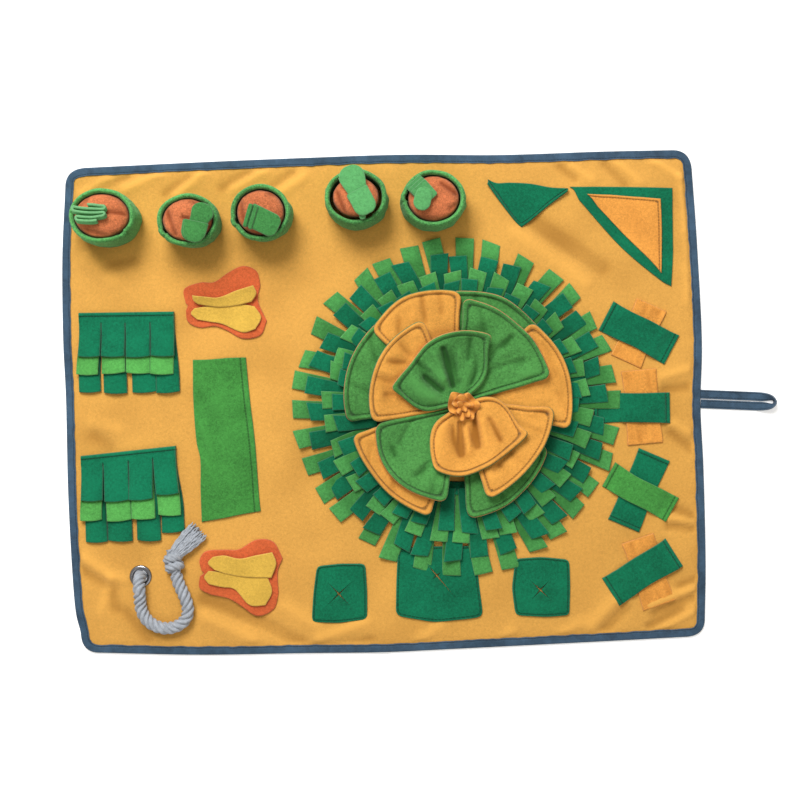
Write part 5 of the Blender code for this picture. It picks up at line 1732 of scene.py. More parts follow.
@dataclass
class FlatPiece:
    """A piece cut from one cloth and sewn down flat."""

    name: str
    node: str
    slot: Slot
    finish: str
    level: float
    # Its coarse grid, x, y and any height above its level
    rows: tuple
    hem: Hem = Hem()
    # What gives its unevenness, and how far its edges lift
    seed: int = 1
    curl: float = 0.5
    creases: tuple = ()
    rests_on: tuple = ("base_cloth",)
    sewn: str = "abcd"
    # The coarse grid of its second half, where it has one
    more: tuple = ()

    def build(self, finishes: Finishes) -> bpy.types.Object:
        form = Form()
        for k, rows in enumerate(filter(None, (self.rows, self.more))):
            lay_cloth(form, rows, self.level, self.hem, seed=self.seed + 40 * k, creases=self.creases,
                      curl=self.curl, sewn=self.sewn)
            cut_size(rows)
        thing = dress(form.put(self.name, finishes.get(self.finish)), [self.node])
        return thing


SEWN = Hem(cloth=2.0, puff=1.1, stitch=4.6, groove=0.8)
FLAT_PIECES = (
    FlatPiece("pocket_triangle", "triangle_pocket", Slot.DARK, "dark_sewn", LEVEL_1, (
        ((124, 246, 3.5), (134, 242, 0.6), (149, 242, 0), (172, 240, 0), (195, 235, 0.6), (214, 233, 3.0)),
        ((124, 243, 3.0), (139, 230, 0.6), (154, 224, 0), (170, 225, 0), (192, 227, 0.6), (214, 231, 3.0)),
        ((123, 241, 2.6), (138, 219, 0.4), (157, 194, 0), (165, 194, 0), (190, 213, 0.4), (213, 229, 2.4)),
    ), SEWN, 101, 0.4, sewn="b"),
    FlatPiece("frame_triangle", "triangle_frame", Slot.DARK, "dark", LEVEL_1, (
        ((216, 235, 0), (251, 234, 0), (296, 232, 0), (332, 230, 0)),
        ((220, 232, 0), (250, 220, 0), (300, 205, 0), (331, 190, 0)),
        ((222, 229, 0), (257, 197, 0), (304, 168, 0), (330, 153, 0)),
        ((226, 220, 0), (271, 166, 0), (313, 128, 0), (327, 119, 0)),
    ), Hem(cloth=2.0), 103, 0.4),
    FlatPiece("inset_triangle", "triangle_inset", Slot.PETAL_ORANGE, "orange", LEVEL_2, (
        ((235, 226, 0), (262, 224, 0), (290, 221, 0), (318, 218, 0)),
        ((240, 221, 0), (266, 207, 0), (296, 195, 0), (318, 185, 0)),
        ((247, 211, 0), (276, 178, 0), (303, 150, 0), (316, 134, 0)),
    ), Hem(cloth=1.9, puff=0.8, stitch=3.6, groove=0.7), 105, 0.9, (), ("frame_triangle",), "ad"),
    FlatPiece("open_tunnel", "tunnel_panel", Slot.LIGHT, "light_tunnel", LEVEL_1, (
        ((-215, 54, 0), (-216, 9, 0), (-214, -36, 0.6), (-210, -59, 2.2), (-211, -93, 0.8), (-211, -129, 0)),
        ((-196, 54, 0.8), (-195, 8, 1.2), (-192, -38, 1.6), (-189, -66, 2.6), (-189, -98, 1.6),
         (-189, -126, 0.8)),
        ((-175, 55, 0.8), (-172, 7, 1.2), (-168, -39, 1.4), (-166, -76, 1.4), (-165, -104, 1.2),
         (-166, -122, 0.8)),
        ((-155, 55, 0), (-152, 7, 0), (-148, -39, 0), (-146, -84, 0), (-145, -107, 0), (-144, -119, 0)),
    ), Hem(cloth=2.0, puff=0.5, stitch=6.4, groove=0.9), 107, 0.5,
        ((-205, 30, -188, -2, 6, 0.9), (-207, -20, -196, -52, 4, 1.5), (-184, 20, -176, -70, 9, 0.8),
         (-203, -62, -190, -92, 5, 1.2), (-196, 4, -178, 16, 5, 0.7)), sewn="b"),
    FlatPiece("butterfly_body_1", "butterfly_1_base", Slot.CORAL, "coral", LEVEL_1, (
        ((-221, 118), (-222, 134), (-204, 141), (-188, 141), (-172, 151), (-155, 158), (-140, 152),
         (-136, 136)),
        ((-219, 115), (-214, 119), (-200, 121), (-186, 120), (-170, 121), (-155, 121), (-143, 119),
         (-139, 118)),
        ((-221, 110), (-219, 97), (-206, 90), (-189, 91), (-176, 86), (-158, 76), (-138, 79), (-130, 95)),
    ), Hem(), 109, 0.9),
    FlatPiece("butterfly_body_2", "butterfly_2_base", Slot.CORAL, "coral", LEVEL_1, (
        ((-213, -184), (-215, -172), (-207, -162), (-186, -161), (-170, -161), (-150, -151), (-131, -154),
         (-121, -173)),
        ((-211, -187), (-206, -187), (-194, -187), (-182, -188), (-168, -190), (-152, -190), (-138, -190),
         (-127, -188)),
        ((-215, -190), (-216, -203), (-204, -211), (-184, -216), (-170, -225), (-152, -237), (-133, -230),
         (-127, -212)),
    ), Hem(), 111, 0.9),
    FlatPiece("butterfly_wings_1", "butterfly_1_wings", Slot.YELLOW, "yellow", LEVEL_2, (
        ((-211, 112, 0.3), (-193, 114, 0.3), (-176, 114, 0.3), (-159, 115, 0.3), (-143, 112, 0.3)),
        ((-215, 106, 0.8), (-194, 104, 0), (-178, 103, 0), (-160, 101, 0), (-136, 99, 1.0)),
        ((-208, 99, 0.8), (-194, 96, 0.4), (-180, 93, 0.4), (-158, 83, 0.4), (-143, 86, 1.0)),
    ), Hem(cloth=1.7), 113, 0.5, (), ("butterfly_body_1",), more=(
        ((-212, 126, 7.5), (-197, 124, 6.5), (-182, 123, 6.0), (-162, 130, 7.0), (-143, 135, 8.5)),
        ((-211, 120, 4.8), (-194, 119, 4.2), (-180, 118, 3.8), (-161, 122, 4.4), (-140, 126, 5.5)),
        ((-206, 116, 2.4), (-193, 113.5, 2.2), (-179, 112, 2.2), (-162, 113.5, 2.2), (-146, 117, 2.4)),
    )),
    FlatPiece("butterfly_wings_2", "butterfly_2_wings", Slot.YELLOW, "yellow", LEVEL_2, (
        ((-205, -184, 0.2), (-187, -186, 0.2), (-171, -189, 0.2), (-152, -191, 0.2), (-138, -194, 0.2)),
        ((-210, -191, 0.8), (-188, -194, 0), (-172, -197, 0), (-154, -206, 0), (-134, -210, 0.8)),
        ((-205, -199, 0.8), (-190, -203, 0.4), (-176, -206, 0.4), (-160, -224, 0.4), (-142, -225, 0.8)),
    ), Hem(cloth=1.7), 115, 0.5, (), ("butterfly_body_2",), more=(
        ((-199, -168, 3.2), (-186, -167, 3.0), (-169, -171, 3.0), (-151, -168, 3.4), (-132, -165, 3.6)),
        ((-205, -175, 2.6), (-188, -177, 2.4), (-169, -180, 2.4), (-152, -180, 2.6), (-128, -178, 2.8)),
        ((-198, -183, 2.0), (-187, -187, 2.0), (-171, -191, 2.0), (-152, -193, 2.0), (-134, -194, 2.0)),
    )),
)


@dataclass
class FringePockets:
    """Two pockets of three layers each, a header sewn down with four strips hanging from it."""

    finishes: Finishes
    # The even step and the first lines of a layer's grid, as shares of a strip's width and of its drop
    across: tuple = (0.1, (0.02, 0.05, 0.10, 0.16))
    down: tuple = (0.034, (0.006, 0.014, 0.026, 0.042))
    # The header's height, the slits' width, and the hems of the upper layer and of the others
    header: float = 12.0
    slit: float = 0.5
    top_hem: Hem = Hem(puff=1.6, stitch=5.6, groove=0.7)
    plain_hem: Hem = Hem()
    # The thickness that nothing passes near an edge
    edge_hem: Hem = Hem(cloth=4.0)
    # The header's ends; then each strip's sides at the header and its foot in the low, middle and top layer
    pockets: tuple = (
        (((-341, 111), (-233, 109)), (
            (-341, -317, (-344, 20), (-346, 41), (-343, 61)),
            (-315, -290, (-316, 19), (-317, 41), (-317, 59)),
            (-288, -262, (-284, 18), (-290, 40), (-289, 59)),
            (-260, -234, (-257, 18), (-263, 39), (-261, 59)),
        )),
        (((-345, -50), (-237, -42)), (
            (-344, -320, (-342, -148), (-347, -124), (-345, -101)),
            (-318, -292, (-317, -148), (-317, -125), (-318, -102)),
            (-289, -264, (-284, -148), (-289, -124), (-291, -101)),
            (-262, -237, (-256, -140), (-259, -120), (-259, -97)),
        )),
    )

    def build(self) -> None:
        """Makes the layers of both pockets, the lowest first."""
        layers = (("low", LEVEL_1, "dark", Slot.DARK), ("middle", LEVEL_2, "light", Slot.LIGHT),
                  ("top", LEVEL_3, "dark_sewn", Slot.DARK))
        for number, (head, strips) in enumerate(self.pockets, 1):
            for k, (layer, level, finish, slot) in enumerate(layers):
                form = Form()
                self.layer(form, head, strips, k, level, 10 * number + k)
                node = f"fringe_pocket_{number}_{layer}"
                pocket = form.put(f"comb_pocket_{number}_{layer}", self.finishes.get(finish))
                thing = dress(pocket, [node])
                drop = head[0][1] - strips[0][2 + k][1]
                (head[1][0] - head[0][0]) * MM
                drop * MM

    def layer(self, form: Form, head: tuple, strips: tuple, k: int, level: float, seed: int) -> None:
        """One layer: a grid whose columns run down the strips, cut between them below the header, its top
        edge rolled on the upper layer, its feet lifting and drifting a little.

        Args:
            form: takes it.
            head: the header's ends.
            strips: the strips' rows.
            k: the layer, from the lowest.
            level: the height of its underside.
            seed: gives its unevenness.
        """
        (left_x, left_y), (right_x, right_y) = head
        share = stations(1.0, *self.across)
        count = len(share)
        left, right = (np.array([strip[side] for strip in strips], float) for side in (0, 1))
        gap = 0.5 * (left[1:] - right[:-1]) - self.slit / 2
        left[1:], right[:-1] = left[1:] - gap, right[:-1] + gap
        feet = np.array([strip[2 + k] for strip in strips], float)
        top_x = (left[:, None] + (right - left)[:, None] * share).reshape(-1)
        foot_x = (feet[:, :1] + (right - left)[:, None] * share).reshape(-1)
        chance = np.random.default_rng(seed)
        sway = chance.uniform(-0.8, 0.8, len(strips)).repeat(count)
        slant = (chance.uniform(-1.6, 1.6, len(strips))[:, None] * (share - 0.5)).reshape(-1)
        droop = np.tile(1.2 * (2 * share - 1) ** 2, len(strips))
        foot_y = feet[:, 1].repeat(count) + sway + slant + droop
        top_y = left_y + (top_x - left_x) / (right_x - left_x) * (right_y - left_y)
        drop = stations(1.0, *self.down)
        down = drop[None] * (top_y - foot_y)[:, None]
        x = top_x[:, None] + (foot_x - top_x)[:, None] * ease(down, self.header, 75.0)
        y = top_y[:, None] - down
        grid = np.stack([x, y], axis=-1)
        mask = np.ones((len(top_x) - 1, len(drop) - 1), bool)
        between = np.arange(len(top_x) - 1) % count == count - 1
        below = 0.5 * (down[:-1, 1:] + down[1:, :-1]) > self.header
        mask[between] &= ~below[between]
        width = (right - left).repeat(count)[:, None]
        within = np.tile(np.minimum(share, 1 - share), len(strips))[:, None] * width
        outer = np.zeros(len(top_x), bool)
        outer[:count // 2] = outer[-(count // 2):] = True
        free = ease(down, self.header - 3, self.header + 1)
        side = np.where(outer[:, None] | (free > 0.5), within, within + 9 * (1 - free))
        inward = np.minimum(np.minimum(side, down), down[:, -1:] - down)
        hem = self.top_hem if k == 2 else self.plain_hem
        sewn = hem.thick(np.minimum(down, side + 3))
        thick = np.where(down < self.header, sewn, self.plain_hem.thick(inward))
        thick = np.minimum(thick, self.edge_hem.thick(inward))
        loose = ease(down, 20, down[:, -1:])
        tilt = np.random.default_rng(seed // 10).uniform(-0.5, 1.0, len(strips)).repeat(count)[:, None]
        lift = settled(grid, 30, seed + 1) + loose * (1.5 + 0.9 * k + 0.7 * tilt)
        middle = np.tile(1 - (2 * share - 1) ** 2, len(strips))[:, None]
        lift = lift + (1.5 + 0.6 * tilt) * middle * ease(down, self.header, 36)
        bottom = np.concatenate([grid, (level + lift)[..., None]], axis=-1)
        seam = down if k == 2 else np.full(down.shape, UNSEWN)
        over = np.array([strip[3 + k if k < 2 else 2][1] for strip in strips], float).repeat(count)[:, None]
        # Random tone, and a painted highlight over all and on each strip's raised middle
        deep = 0.26 * ripple(grid, 30, seed + 5) - 0.12 - 0.26 * middle * ease(down, self.header, 36)
        # Painted shade where a lower layer comes out from under the foot of the one above
        deep += 0.75 * np.exp(-np.clip(over - y, 0, None) / 3.2) * (k < 2)
        # Painted shade along the slits between the strips
        deep += 0.30 * np.exp(-within / 1.6) * ease(down, self.header, 24)
        form.shell(bottom + UP * thick[..., None], bottom, mark(x, inward, seam, deep), mask)


@dataclass
class SlitSquares:
    """Three squares with hemmed edges and a crossed slit whose flaps stand a little open."""

    finishes: Finishes
    # The outline's corners and side middles, the slit's centre, its turn, its two arms, its flaps' lift
    squares: tuple = (
        (((-28, -182), (-56, -181), (-83, -183), (-88, -214), (-91, -246), (-62, -248), (-28, -245),
          (-27, -214)), (-59, -215), 42, 17, 17, 3.2),
        (((97, -166), (53, -165), (9, -166), (6, -204), (4, -242), (48, -251), (103, -247), (99, -206)),
         (52, -198), -52, 32, 5, 2.0),
        (((202, -185), (170, -181), (141, -182), (136, -215), (139, -246), (173, -249), (200, -248),
          (202, -216)), (168, -218), 45, 14, 14, 3.0),
    )
    # The even step and the first lines of the grid from slit to outline, as shares
    spoke: tuple = (0.06, (0.02, 0.05, 0.09, 0.14, 0.19))
    # How far off the slit's arms and the corners there are more spokes, in degrees
    beside: tuple = (-4.0, -1.6, -0.5, 0.0, 0.5, 1.6, 4.0)
    # Half the slit's width at its middle, and how far from it the flaps lift
    gape: float = 0.8
    flap_half: float = 9.0
    edged_hem: Hem = Hem(cloth=2.0, puff=0.7, stitch=2.6, groove=0.7)
    plain_hem: Hem = Hem(cloth=2.0)
    # The thickness that nothing passes near an edge
    edge_hem: Hem = Hem(cloth=3.2)

    def build(self) -> None:
        """Makes each square."""
        for number, (outline, centre, turn, long_arm, short_arm, flap) in enumerate(self.squares, 1):
            form = Form()
            self.square(form, np.array(outline, float), np.array(centre, float), turn, (long_arm, short_arm),
                        flap, number)
            patch_piece = form.put(f"slit_patch_{number}", self.finishes.get("dark_edged"))
            thing = dress(patch_piece, [f"slit_square_{number}"])

    @staticmethod
    def reach(line: Array, centre: Array, turns: Array) -> Array:
        """How far a closed line lies from a centre at each turn in degrees."""
        closed = np.concatenate([line, line[:1]])
        far = lengths(closed)
        at = np.linspace(0, far[-1], 2400)
        dense = np.stack([np.interp(at, far, column) for column in closed.T], axis=-1) - centre
        angle = np.degrees(np.arctan2(dense[:, 1], dense[:, 0]))
        return np.interp(turns, angle, np.linalg.norm(dense, axis=1), period=360)

    def square(self, form: Form, outline: Array, centre: Array, turn: float, arms: tuple, flap: float,
               number: int) -> None:
        """A square: spokes from the slit's star to the outline, denser at both, its flaps lifting where the
        star is narrow.

        Args:
            form: takes it.
            outline: its corners and side middles.
            centre: the slit's middle.
            turn: the slit's turn in degrees.
            arms: the slit's two half lengths.
            flap: how far the flaps stand up.
            number: its place.
        """
        t = np.linspace(0, 1, 9)[:-1, None]
        ends = zip(outline, np.roll(outline, -1, axis=0))
        edge = np.concatenate([(1 - t) * start + t * end for start, end in ends])
        for _ in range(2):
            edge = 0.25 * (np.roll(edge, 1, axis=0) + 2 * edge + np.roll(edge, -1, axis=0))
        star_turns = turn + np.arange(8) * 45.0
        star_far = np.array([arms[0], self.gape, arms[1], self.gape] * 2)
        star = centre + np.column_stack([np.cos(np.radians(star_turns)), np.sin(np.radians(star_turns))]) \
            * star_far[:, None]
        corners = np.degrees(np.arctan2(*(outline[::2] - centre).T[::-1])) % 360
        offsets = np.array(self.beside)
        arms_at = (star_turns[::2, None] + offsets).ravel() % 360
        corners_at = (corners[:, None] + offsets[[0, 3, 6]]).ravel() % 360
        turns = np.unique(np.round(np.concatenate([np.arange(0, 360, 3.0), arms_at, corners_at]), 2))
        outer, inner = self.reach(edge, centre, turns), self.reach(star, centre, turns)
        long = (outer - inner)[:, None]
        share = stations(1.0, *self.spoke)
        radius = inner[:, None] + long * share
        angle = np.radians(turns)[:, None]
        x, y = centre[0] + radius * np.cos(angle), centre[1] + radius * np.sin(angle)
        grid = np.stack([x, y], axis=-1)
        slant = self.slant(edge, grid)
        to_slit = long * share * np.clip(inner[:, None] / self.flap_half, 0.35, 1.0)
        inward = np.minimum(slant, to_slit)
        thick = np.where(slant < 5, self.edged_hem.thick(slant), self.plain_hem.thick(inward))
        thick = np.minimum(thick, self.edge_hem.thick(inward))
        narrow = np.clip(1 - (inner - self.gape) / (max(arms) - self.gape), 0, 1)[:, None]
        lift = flap * narrow * bell(radius, inner[:, None], self.flap_half)
        lift = lift * (0.75 + 0.5 * ripple(grid, 16, 220 + number))
        lift = lift + settled(grid, 30, 200 + number)
        lift = lift + 0.5 * np.exp(-slant / 3.0) * np.clip(ripple(grid, 24, 210 + number), 0, 1)
        bottom = np.stack([x, y, LEVEL_1 + lift], axis=-1)
        top = bottom + UP * thick[..., None]
        # Random tone, painted shade into the slit and a painted highlight on the raised flaps
        deep = 0.16 * ripple(grid, 30, 230 + number) + 0.5 * np.exp(-to_slit / 1.4) * narrow - 0.10 * lift
        form.shell(top, bottom, mark(angle * 40, slant, deep=deep), wrap=True)

    @staticmethod
    def slant(outline: Array, grid: Array) -> Array:
        """The distance of each point of a grid from the nearest side of an outline."""
        best = np.full(grid.shape[:-1], 1e9)
        for start, end in zip(outline, np.roll(outline, -1, axis=0)):
            way = end - start
            t = np.clip((grid - start) @ way / (way @ way), 0, 1)
            best = np.minimum(best, np.linalg.norm(grid - start - t[..., None] * way, axis=-1))
        return best


@dataclass
class Straps:
    """Four pairs of straps, one lying across the other, each hemmed and gathered a little at its ends."""

    finishes: Finishes
    # Each lower strap's look, the middle of one end, of the other, and its width
    under: tuple = (
        ("orange_plain", (304, 99), (273, 36), 37), ("orange_plain", (287, 26), (292, -57.5), 40),
        ("dark_sewn", (301, -69.5), (264, -149), 38), ("orange_plain", (279, -164), (302, -240), 38),
    )
    # The same of each upper one, and the shares of its length where it leaves the mat, is clear of the other
    # strap, starts to come down and is down
    over: tuple = (
        ("dark_sewn", (252, 88), (325, 47), 37, (0.13, 0.24, 0.77, 0.88)),
        ("dark_sewn", (235, -16), (321, -17), 35, (0.35, 0.385, 0.91, 0.96)),
        ("light_sewn", (249, -91), (320, -133), 31, (0.09, 0.18, 0.75, 0.85)),
        ("dark_sewn", (247, -223), (320, -180), 37, (0.17, 0.26, 0.93, 0.98)),
    )
    slots: dict = field(default_factory=lambda: {
        "orange_plain": Slot.PETAL_ORANGE, "dark_sewn": Slot.DARK, "light_sewn": Slot.LIGHT,
    })
    # The least room between two crossing straps beyond a flat piece's, and how much higher the middle rises
    clear: float = 0.35
    arch: float = 1.8
    plain_hem: Hem = Hem()
    sewn_hem: Hem = Hem(puff=0.9, stitch=4.6, groove=0.7)

    def build(self) -> None:
        """Makes each pair, the lower strap first."""
        for k, (under, over) in enumerate(zip(self.under, self.over), 1):
            self.strap(f"strap_below_{k}", f"strap_under_{k}", 299 + k, *under)
            self.strap(f"strap_across_{k}", f"strap_over_{k}", 309 + k, *over)

    def strap(self, name: str, node: str, seed: int, look: str, start: tuple, end: tuple, wide: float,
              shares: Optional[tuple] = None) -> None:
        """One strap: a grid along its length, bowed in a little at the middle, that rises over the other
        strap, with small creases along it near its ends.

        Args:
            name: its name.
            node: the CAD node that it stands for.
            seed: gives its unevenness.
            look: its finish.
            start: the middle of one end.
            end: the middle of the other.
            wide: its width.
            shares: where it rises and comes down, or None where it lies flat.
        """
        start, end = np.array(start, float), np.array(end, float)
        length = np.linalg.norm(end - start)
        way = (end - start) / length
        side = np.array([-way[1], way[0]])
        along, across = stations(length, 1.6), stations(wide, 1.4)
        half = across - wide / 2
        waist = 1 - 0.06 * np.sin(math.pi * along / length)[:, None]
        bow = 1.0 * ripple(np.column_stack([along, np.zeros_like(along)]), 60, seed)[:, None]
        grid = start + way * along[:, None, None] + side * (half * waist + bow)[..., None]
        lie = Lie.of(np.concatenate([grid, np.zeros((*grid.shape[:2], 1))], axis=-1), "ab")
        share = (along / length)[:, None]
        lift = np.zeros((len(along), 1))
        if shares:
            up, clear, hold, down = shares
            rise = (LEVEL_2 - LEVEL_1 + self.clear) * ease(share, up - 0.02, clear)
            lift = rise * ease(-share, -down - 0.02, -hold)
            lift = lift + self.arch * bell(share, 0.5 * (clear + hold), 0.20)
        near_end = np.minimum(along, length - along)[:, None]
        stretched = np.stack(np.broadcast_arrays(across, 0.10 * along[:, None]), axis=-1)
        gather = ripple(stretched, 8.5, seed + 20)
        plain = look == "orange_plain"
        strength = 0.8 if plain else 0.25
        crease = strength * gather * np.exp(-near_end / 16) * ease(near_end, 1, 4)
        unevenness = settled(grid, 28, seed + 1) + np.clip(crease, -0.05, None)
        curl = 0.45 * np.exp(-lie.inward / 3.0) * np.clip(0.3 + ripple(grid, 22, seed + 2), 0, 1)
        bottom = np.concatenate([grid, (LEVEL_1 + lift + unevenness + curl)[..., None]], axis=-1)
        hem = self.plain_hem if plain else self.sewn_hem
        thick = hem.thick(lie.inward, lie.seam) + 0.5 * np.clip(crease, -0.5, None)
        form = Form()
        # Random tone, with painted shade and highlight along the creases
        deep = 0.16 * ripple(grid, 34, seed + 9) - 0.8 * crease
        form.shell(bottom + UP * thick[..., None], bottom, lie.marks(deep))
        thing = dress(form.put(name, self.finishes.get(look)), [node])


# ---------------------------------------------------------------------------------------------------------
# Flower


@dataclass(frozen=True)
class Tier:
    """What sets the petals of one tier apart from the others', in mm."""

    # The radius up to which they are covered, their corners' radius, and how far they are raised
    shown: float = 100.0
    corner: float = 9.0
    raised: float = 0.0
    # Their folds: the length of one, the radius where they are strongest, their strength there and height
    fold: float = 46.0
    fold_at: float = 66.0
    fold_share: float = 0.9
    fold_high: float = 2.4
    # The height of their swells, the lift of their sides, and the most their underside sinks
    swell: float = 1.3
    side_lift: float = 0.8
    room: float = 1.0


LOW_TIER = Tier()
MID_TIER = Tier(shown=82.0)
TOP_TIER = Tier(shown=0.0, corner=6.5, raised=2.2, fold=58.0, fold_at=36.0, fold_share=1.0, fold_high=4.2,
                swell=2.0, side_lift=1.6, room=2.9)
# The tier of each level, from the lowest
TIERS = (LOW_TIER, LOW_TIER, MID_TIER, TOP_TIER)


@dataclass
class Flower:
    """Four rings of fringe strips under three tiers of two-faced fan petals and a frilled centre."""

    finishes: Finishes
    middle: tuple[float, float] = (82.0, -7.0)
    strips: int = 34
    # The even step and the first lines of a strip's grid, as shares of its width and its length
    strip_across: tuple = (0.16, (0.03, 0.08, 0.15))
    strip_down: tuple = (0.068, (0.012, 0.03, 0.055))
    # The strips' thickness, how far in under the backing's edge they start, and the rings' space and level
    ring_thick: float = 1.6
    strip_root: float = 9.0
    ring_space: float = 2.0
    ring_level: float = LEVEL_2 + 0.2
    # Inner and outer radius of the backing, tips' radius, a strip's width at root and tip, turn, and how far
    # roots and tips stray
    rings: tuple = (
        (108, 117, 183, 18.0, 21.0, 0.0, 0.8, 1.9), (99, 112, 169, 17.0, 20.5, 1.9, 0.8, 1.7),
        (92, 107, 150, 16.0, 20.0, 5.4, 0.9, 1.35), (86, 102, 138, 15.0, 19.0, 7.6, 0.9, 1.2),
    )
    # How much further the lowest ring's tips reach by their direction in degrees; the others' by half of it
    ring_reach: tuple = (
        (-180, 3), (-120, 6), (-80, 11), (-50, 3), (-25, -1), (0, -2), (30, -1), (60, 2), (100, 4), (150, 3),
        (180, 3),
    )
    # The radius beyond which the petals leave the highest ring free
    covered: float = 118.0
    petal_space: float = 4.2
    # The height of the lowest petals' undersides by the radius
    floor: tuple = (
        (7.0, 3.9), (24.0, 4.4), (44.0, 6.4), (66.0, 10.4), (90.0, 15.6), (107.0, 16.2), (131.0, 17.0),
    )
    hub: float = 24.0
    # The petals' grid: its step round the rim in mm, then its even step and first lines outwards as shares
    petal_step: float = 2.0
    petal_out: tuple = (0.024, (0.006, 0.014, 0.024, 0.036, 0.05))
    petal_hem: Hem = Hem(cloth=2.9, edge=0.9, round=1.6, puff=1.9, stitch=5.4, groove=1.6)
    crease_scale: float = 1.25
    # Node: level, rise, upper finish, then each fan's start and end at its rim in degrees, how much wider its
    # root is at the start and the end, and its rim's radius at the start, middle and end
    petals: tuple = (
        ("petals_low_green", 0, 0.0, "petal_green", (
            (130, 187, 0, 0, 130, 131, 126), (36, 93, 0, 0, 123, 130, 128), (-87, -27, 0, 0, 128, 122, 112),
        )),
        ("petals_low_orange", 1, 0.0, "petal_orange", (
            (87, 138, 0, 0, 126, 136, 129), (-14, 47, 0, 0, 127, 129, 125), (193, 254, 0, 0, 124, 125, 129),
        )),
        ("petal_mid_1", 2, 4.0, "petal_orange", ((111, 190, 6, 4, 104, 103, 97),)),
        ("petal_mid_2", 2, 4.0, "petal_green", ((15, 86, 0, 0, 107, 112, 119),)),
        ("petal_mid_3", 2, 4.0, "petal_orange", ((-75, -3, 0, 5, 109, 105, 107),)),
        ("petal_mid_4", 2, 4.0, "petal_green", ((191, 261, 0, 6, 96, 109, 108),)),
        ("petal_top_green", 3, 9.0, "petal_green", ((62, 165, 24, 26, 86, 82.5, 79, 70.5, 79),)),
        ("petal_top_orange", 3, 9.0, "petal_orange", ((246, 337, 33, 42, 77, 79, 76.5, 76, 84),)),
    )
    # Creases pressed or raised in the petals: start x, y, end x, y, half width, height
    creases: dict = field(default_factory=lambda: {
        "petal_top_green": ((67, 56, 76, 15, 3.2, -4.4), (46, 25, 65, 11, 2.8, -3.4),
                            (35, 45, 51, 31, 3.0, -2.2), (97, 65, 94, 43, 3.0, -2.4),
                            (57, 50, 68, 24, 3.0, 2.2), (84, 50, 84, 24, 3.6, 2.4),
                            (52, 36, 66, 20, 2.6, 1.6)),
        "petals_low_orange": ((45, 114, 48, 85, 3.4, -2.2), (19, 90, 18, 76, 3.2, -1.8),
                              (65, 120, 67, 97, 3.4, -1.4), (180, 57, 191, 23, 5.0, -1.2),
                              (195, 1, 203, -18, 4.0, -1.2), (-16, -48, -23, -75, 4.0, -1.4),
                              (8, -88, 4, -107, 3.6, -1.4), (33, 110, 36, 92, 3.6, 1.2)),
        "petal_mid_1": ((7, 44, 23, 41, 3.2, -2.2), (2, 7, 10, 6, 3.2, -2.2), (-7, 26, 9, 21, 3.4, -1.6),
                        (20, 62, 30, 50, 3.4, -1.6), (-2, 34, 12, 30, 3.2, 1.1)),
        "petals_low_green": ((-15, 75, -8, 46, 3.4, -1.8), (-36, 20, -18, 11, 3.6, -1.5),
                             (122, 111, 156, 94, 4.0, -1.6), (104, 123, 107, 104, 3.4, -1.5),
                             (148, -87, 169, -102, 3.6, -1.4), (125, -105, 135, -123, 3.6, -1.4)),
        "petal_mid_2": ((116, 43, 143, 67, 3.6, -2.4), (116, 29, 154, 41, 3.4, -2.0),
                        (109, 98, 113, 76, 3.6, -1.6), (128, 47, 150, 55, 3.6, 1.2)),
        "petal_mid_4": ((32, -19, 17, -46, 3.4, -2.4), (6, -50, 9, -60, 3.2, -2.0),
                        (47, -71, 32, -83, 3.2, -2.8), (59, -78, 49, -102, 3.4, -1.8)),
        "petal_top_orange": ((83, -27, 83, -61, 3.0, -4.4), (99, -17, 102, -53, 3.0, -4.0),
                             (116, -24, 127, -47, 3.0, -2.6), (91, -30, 92, -58, 3.2, 2.4),
                             (107, -26, 112, -52, 3.4, 1.8)),
        "petal_mid_3": ((138, -60, 120, -81, 3.6, -2.2), (123, -2, 179, -19, 2.8, -1.6),
                        (149, -31, 171, -40, 3.6, -1.4)),
    })
    centre: tuple[float, float] = (87.0, -7.5)
    # Each round of frills: inner and outer radius, level, height, how many, how far they lean, their turn
    ruffles: tuple = (
        (3.0, 16.5, 23.4, 5.5, 6, 0.6, 1.0), (1.6, 11.5, 25.2, 6.5, 5, 0.7, 2.2),
        (0.6, 6.5, 28.0, 5.5, 3, 0.7, 0.4),
    )
    frill_out: tuple = (0.08, (0.02, 0.05, 0.09))
    frill_hem: Hem = Hem(cloth=1.7, edge=0.9, round=1.0)

    def build(self) -> None:
        """Makes the rings, the petals from the lowest, and the centre."""
        chance = np.random.default_rng(7)
        for number, row in enumerate(self.rings, 1):
            self.fringe(number, row, chance)
        for name, level, rise, finish, fans in self.petals:
            self.petal(name, level, rise, finish, fans)
        self.ruffle()

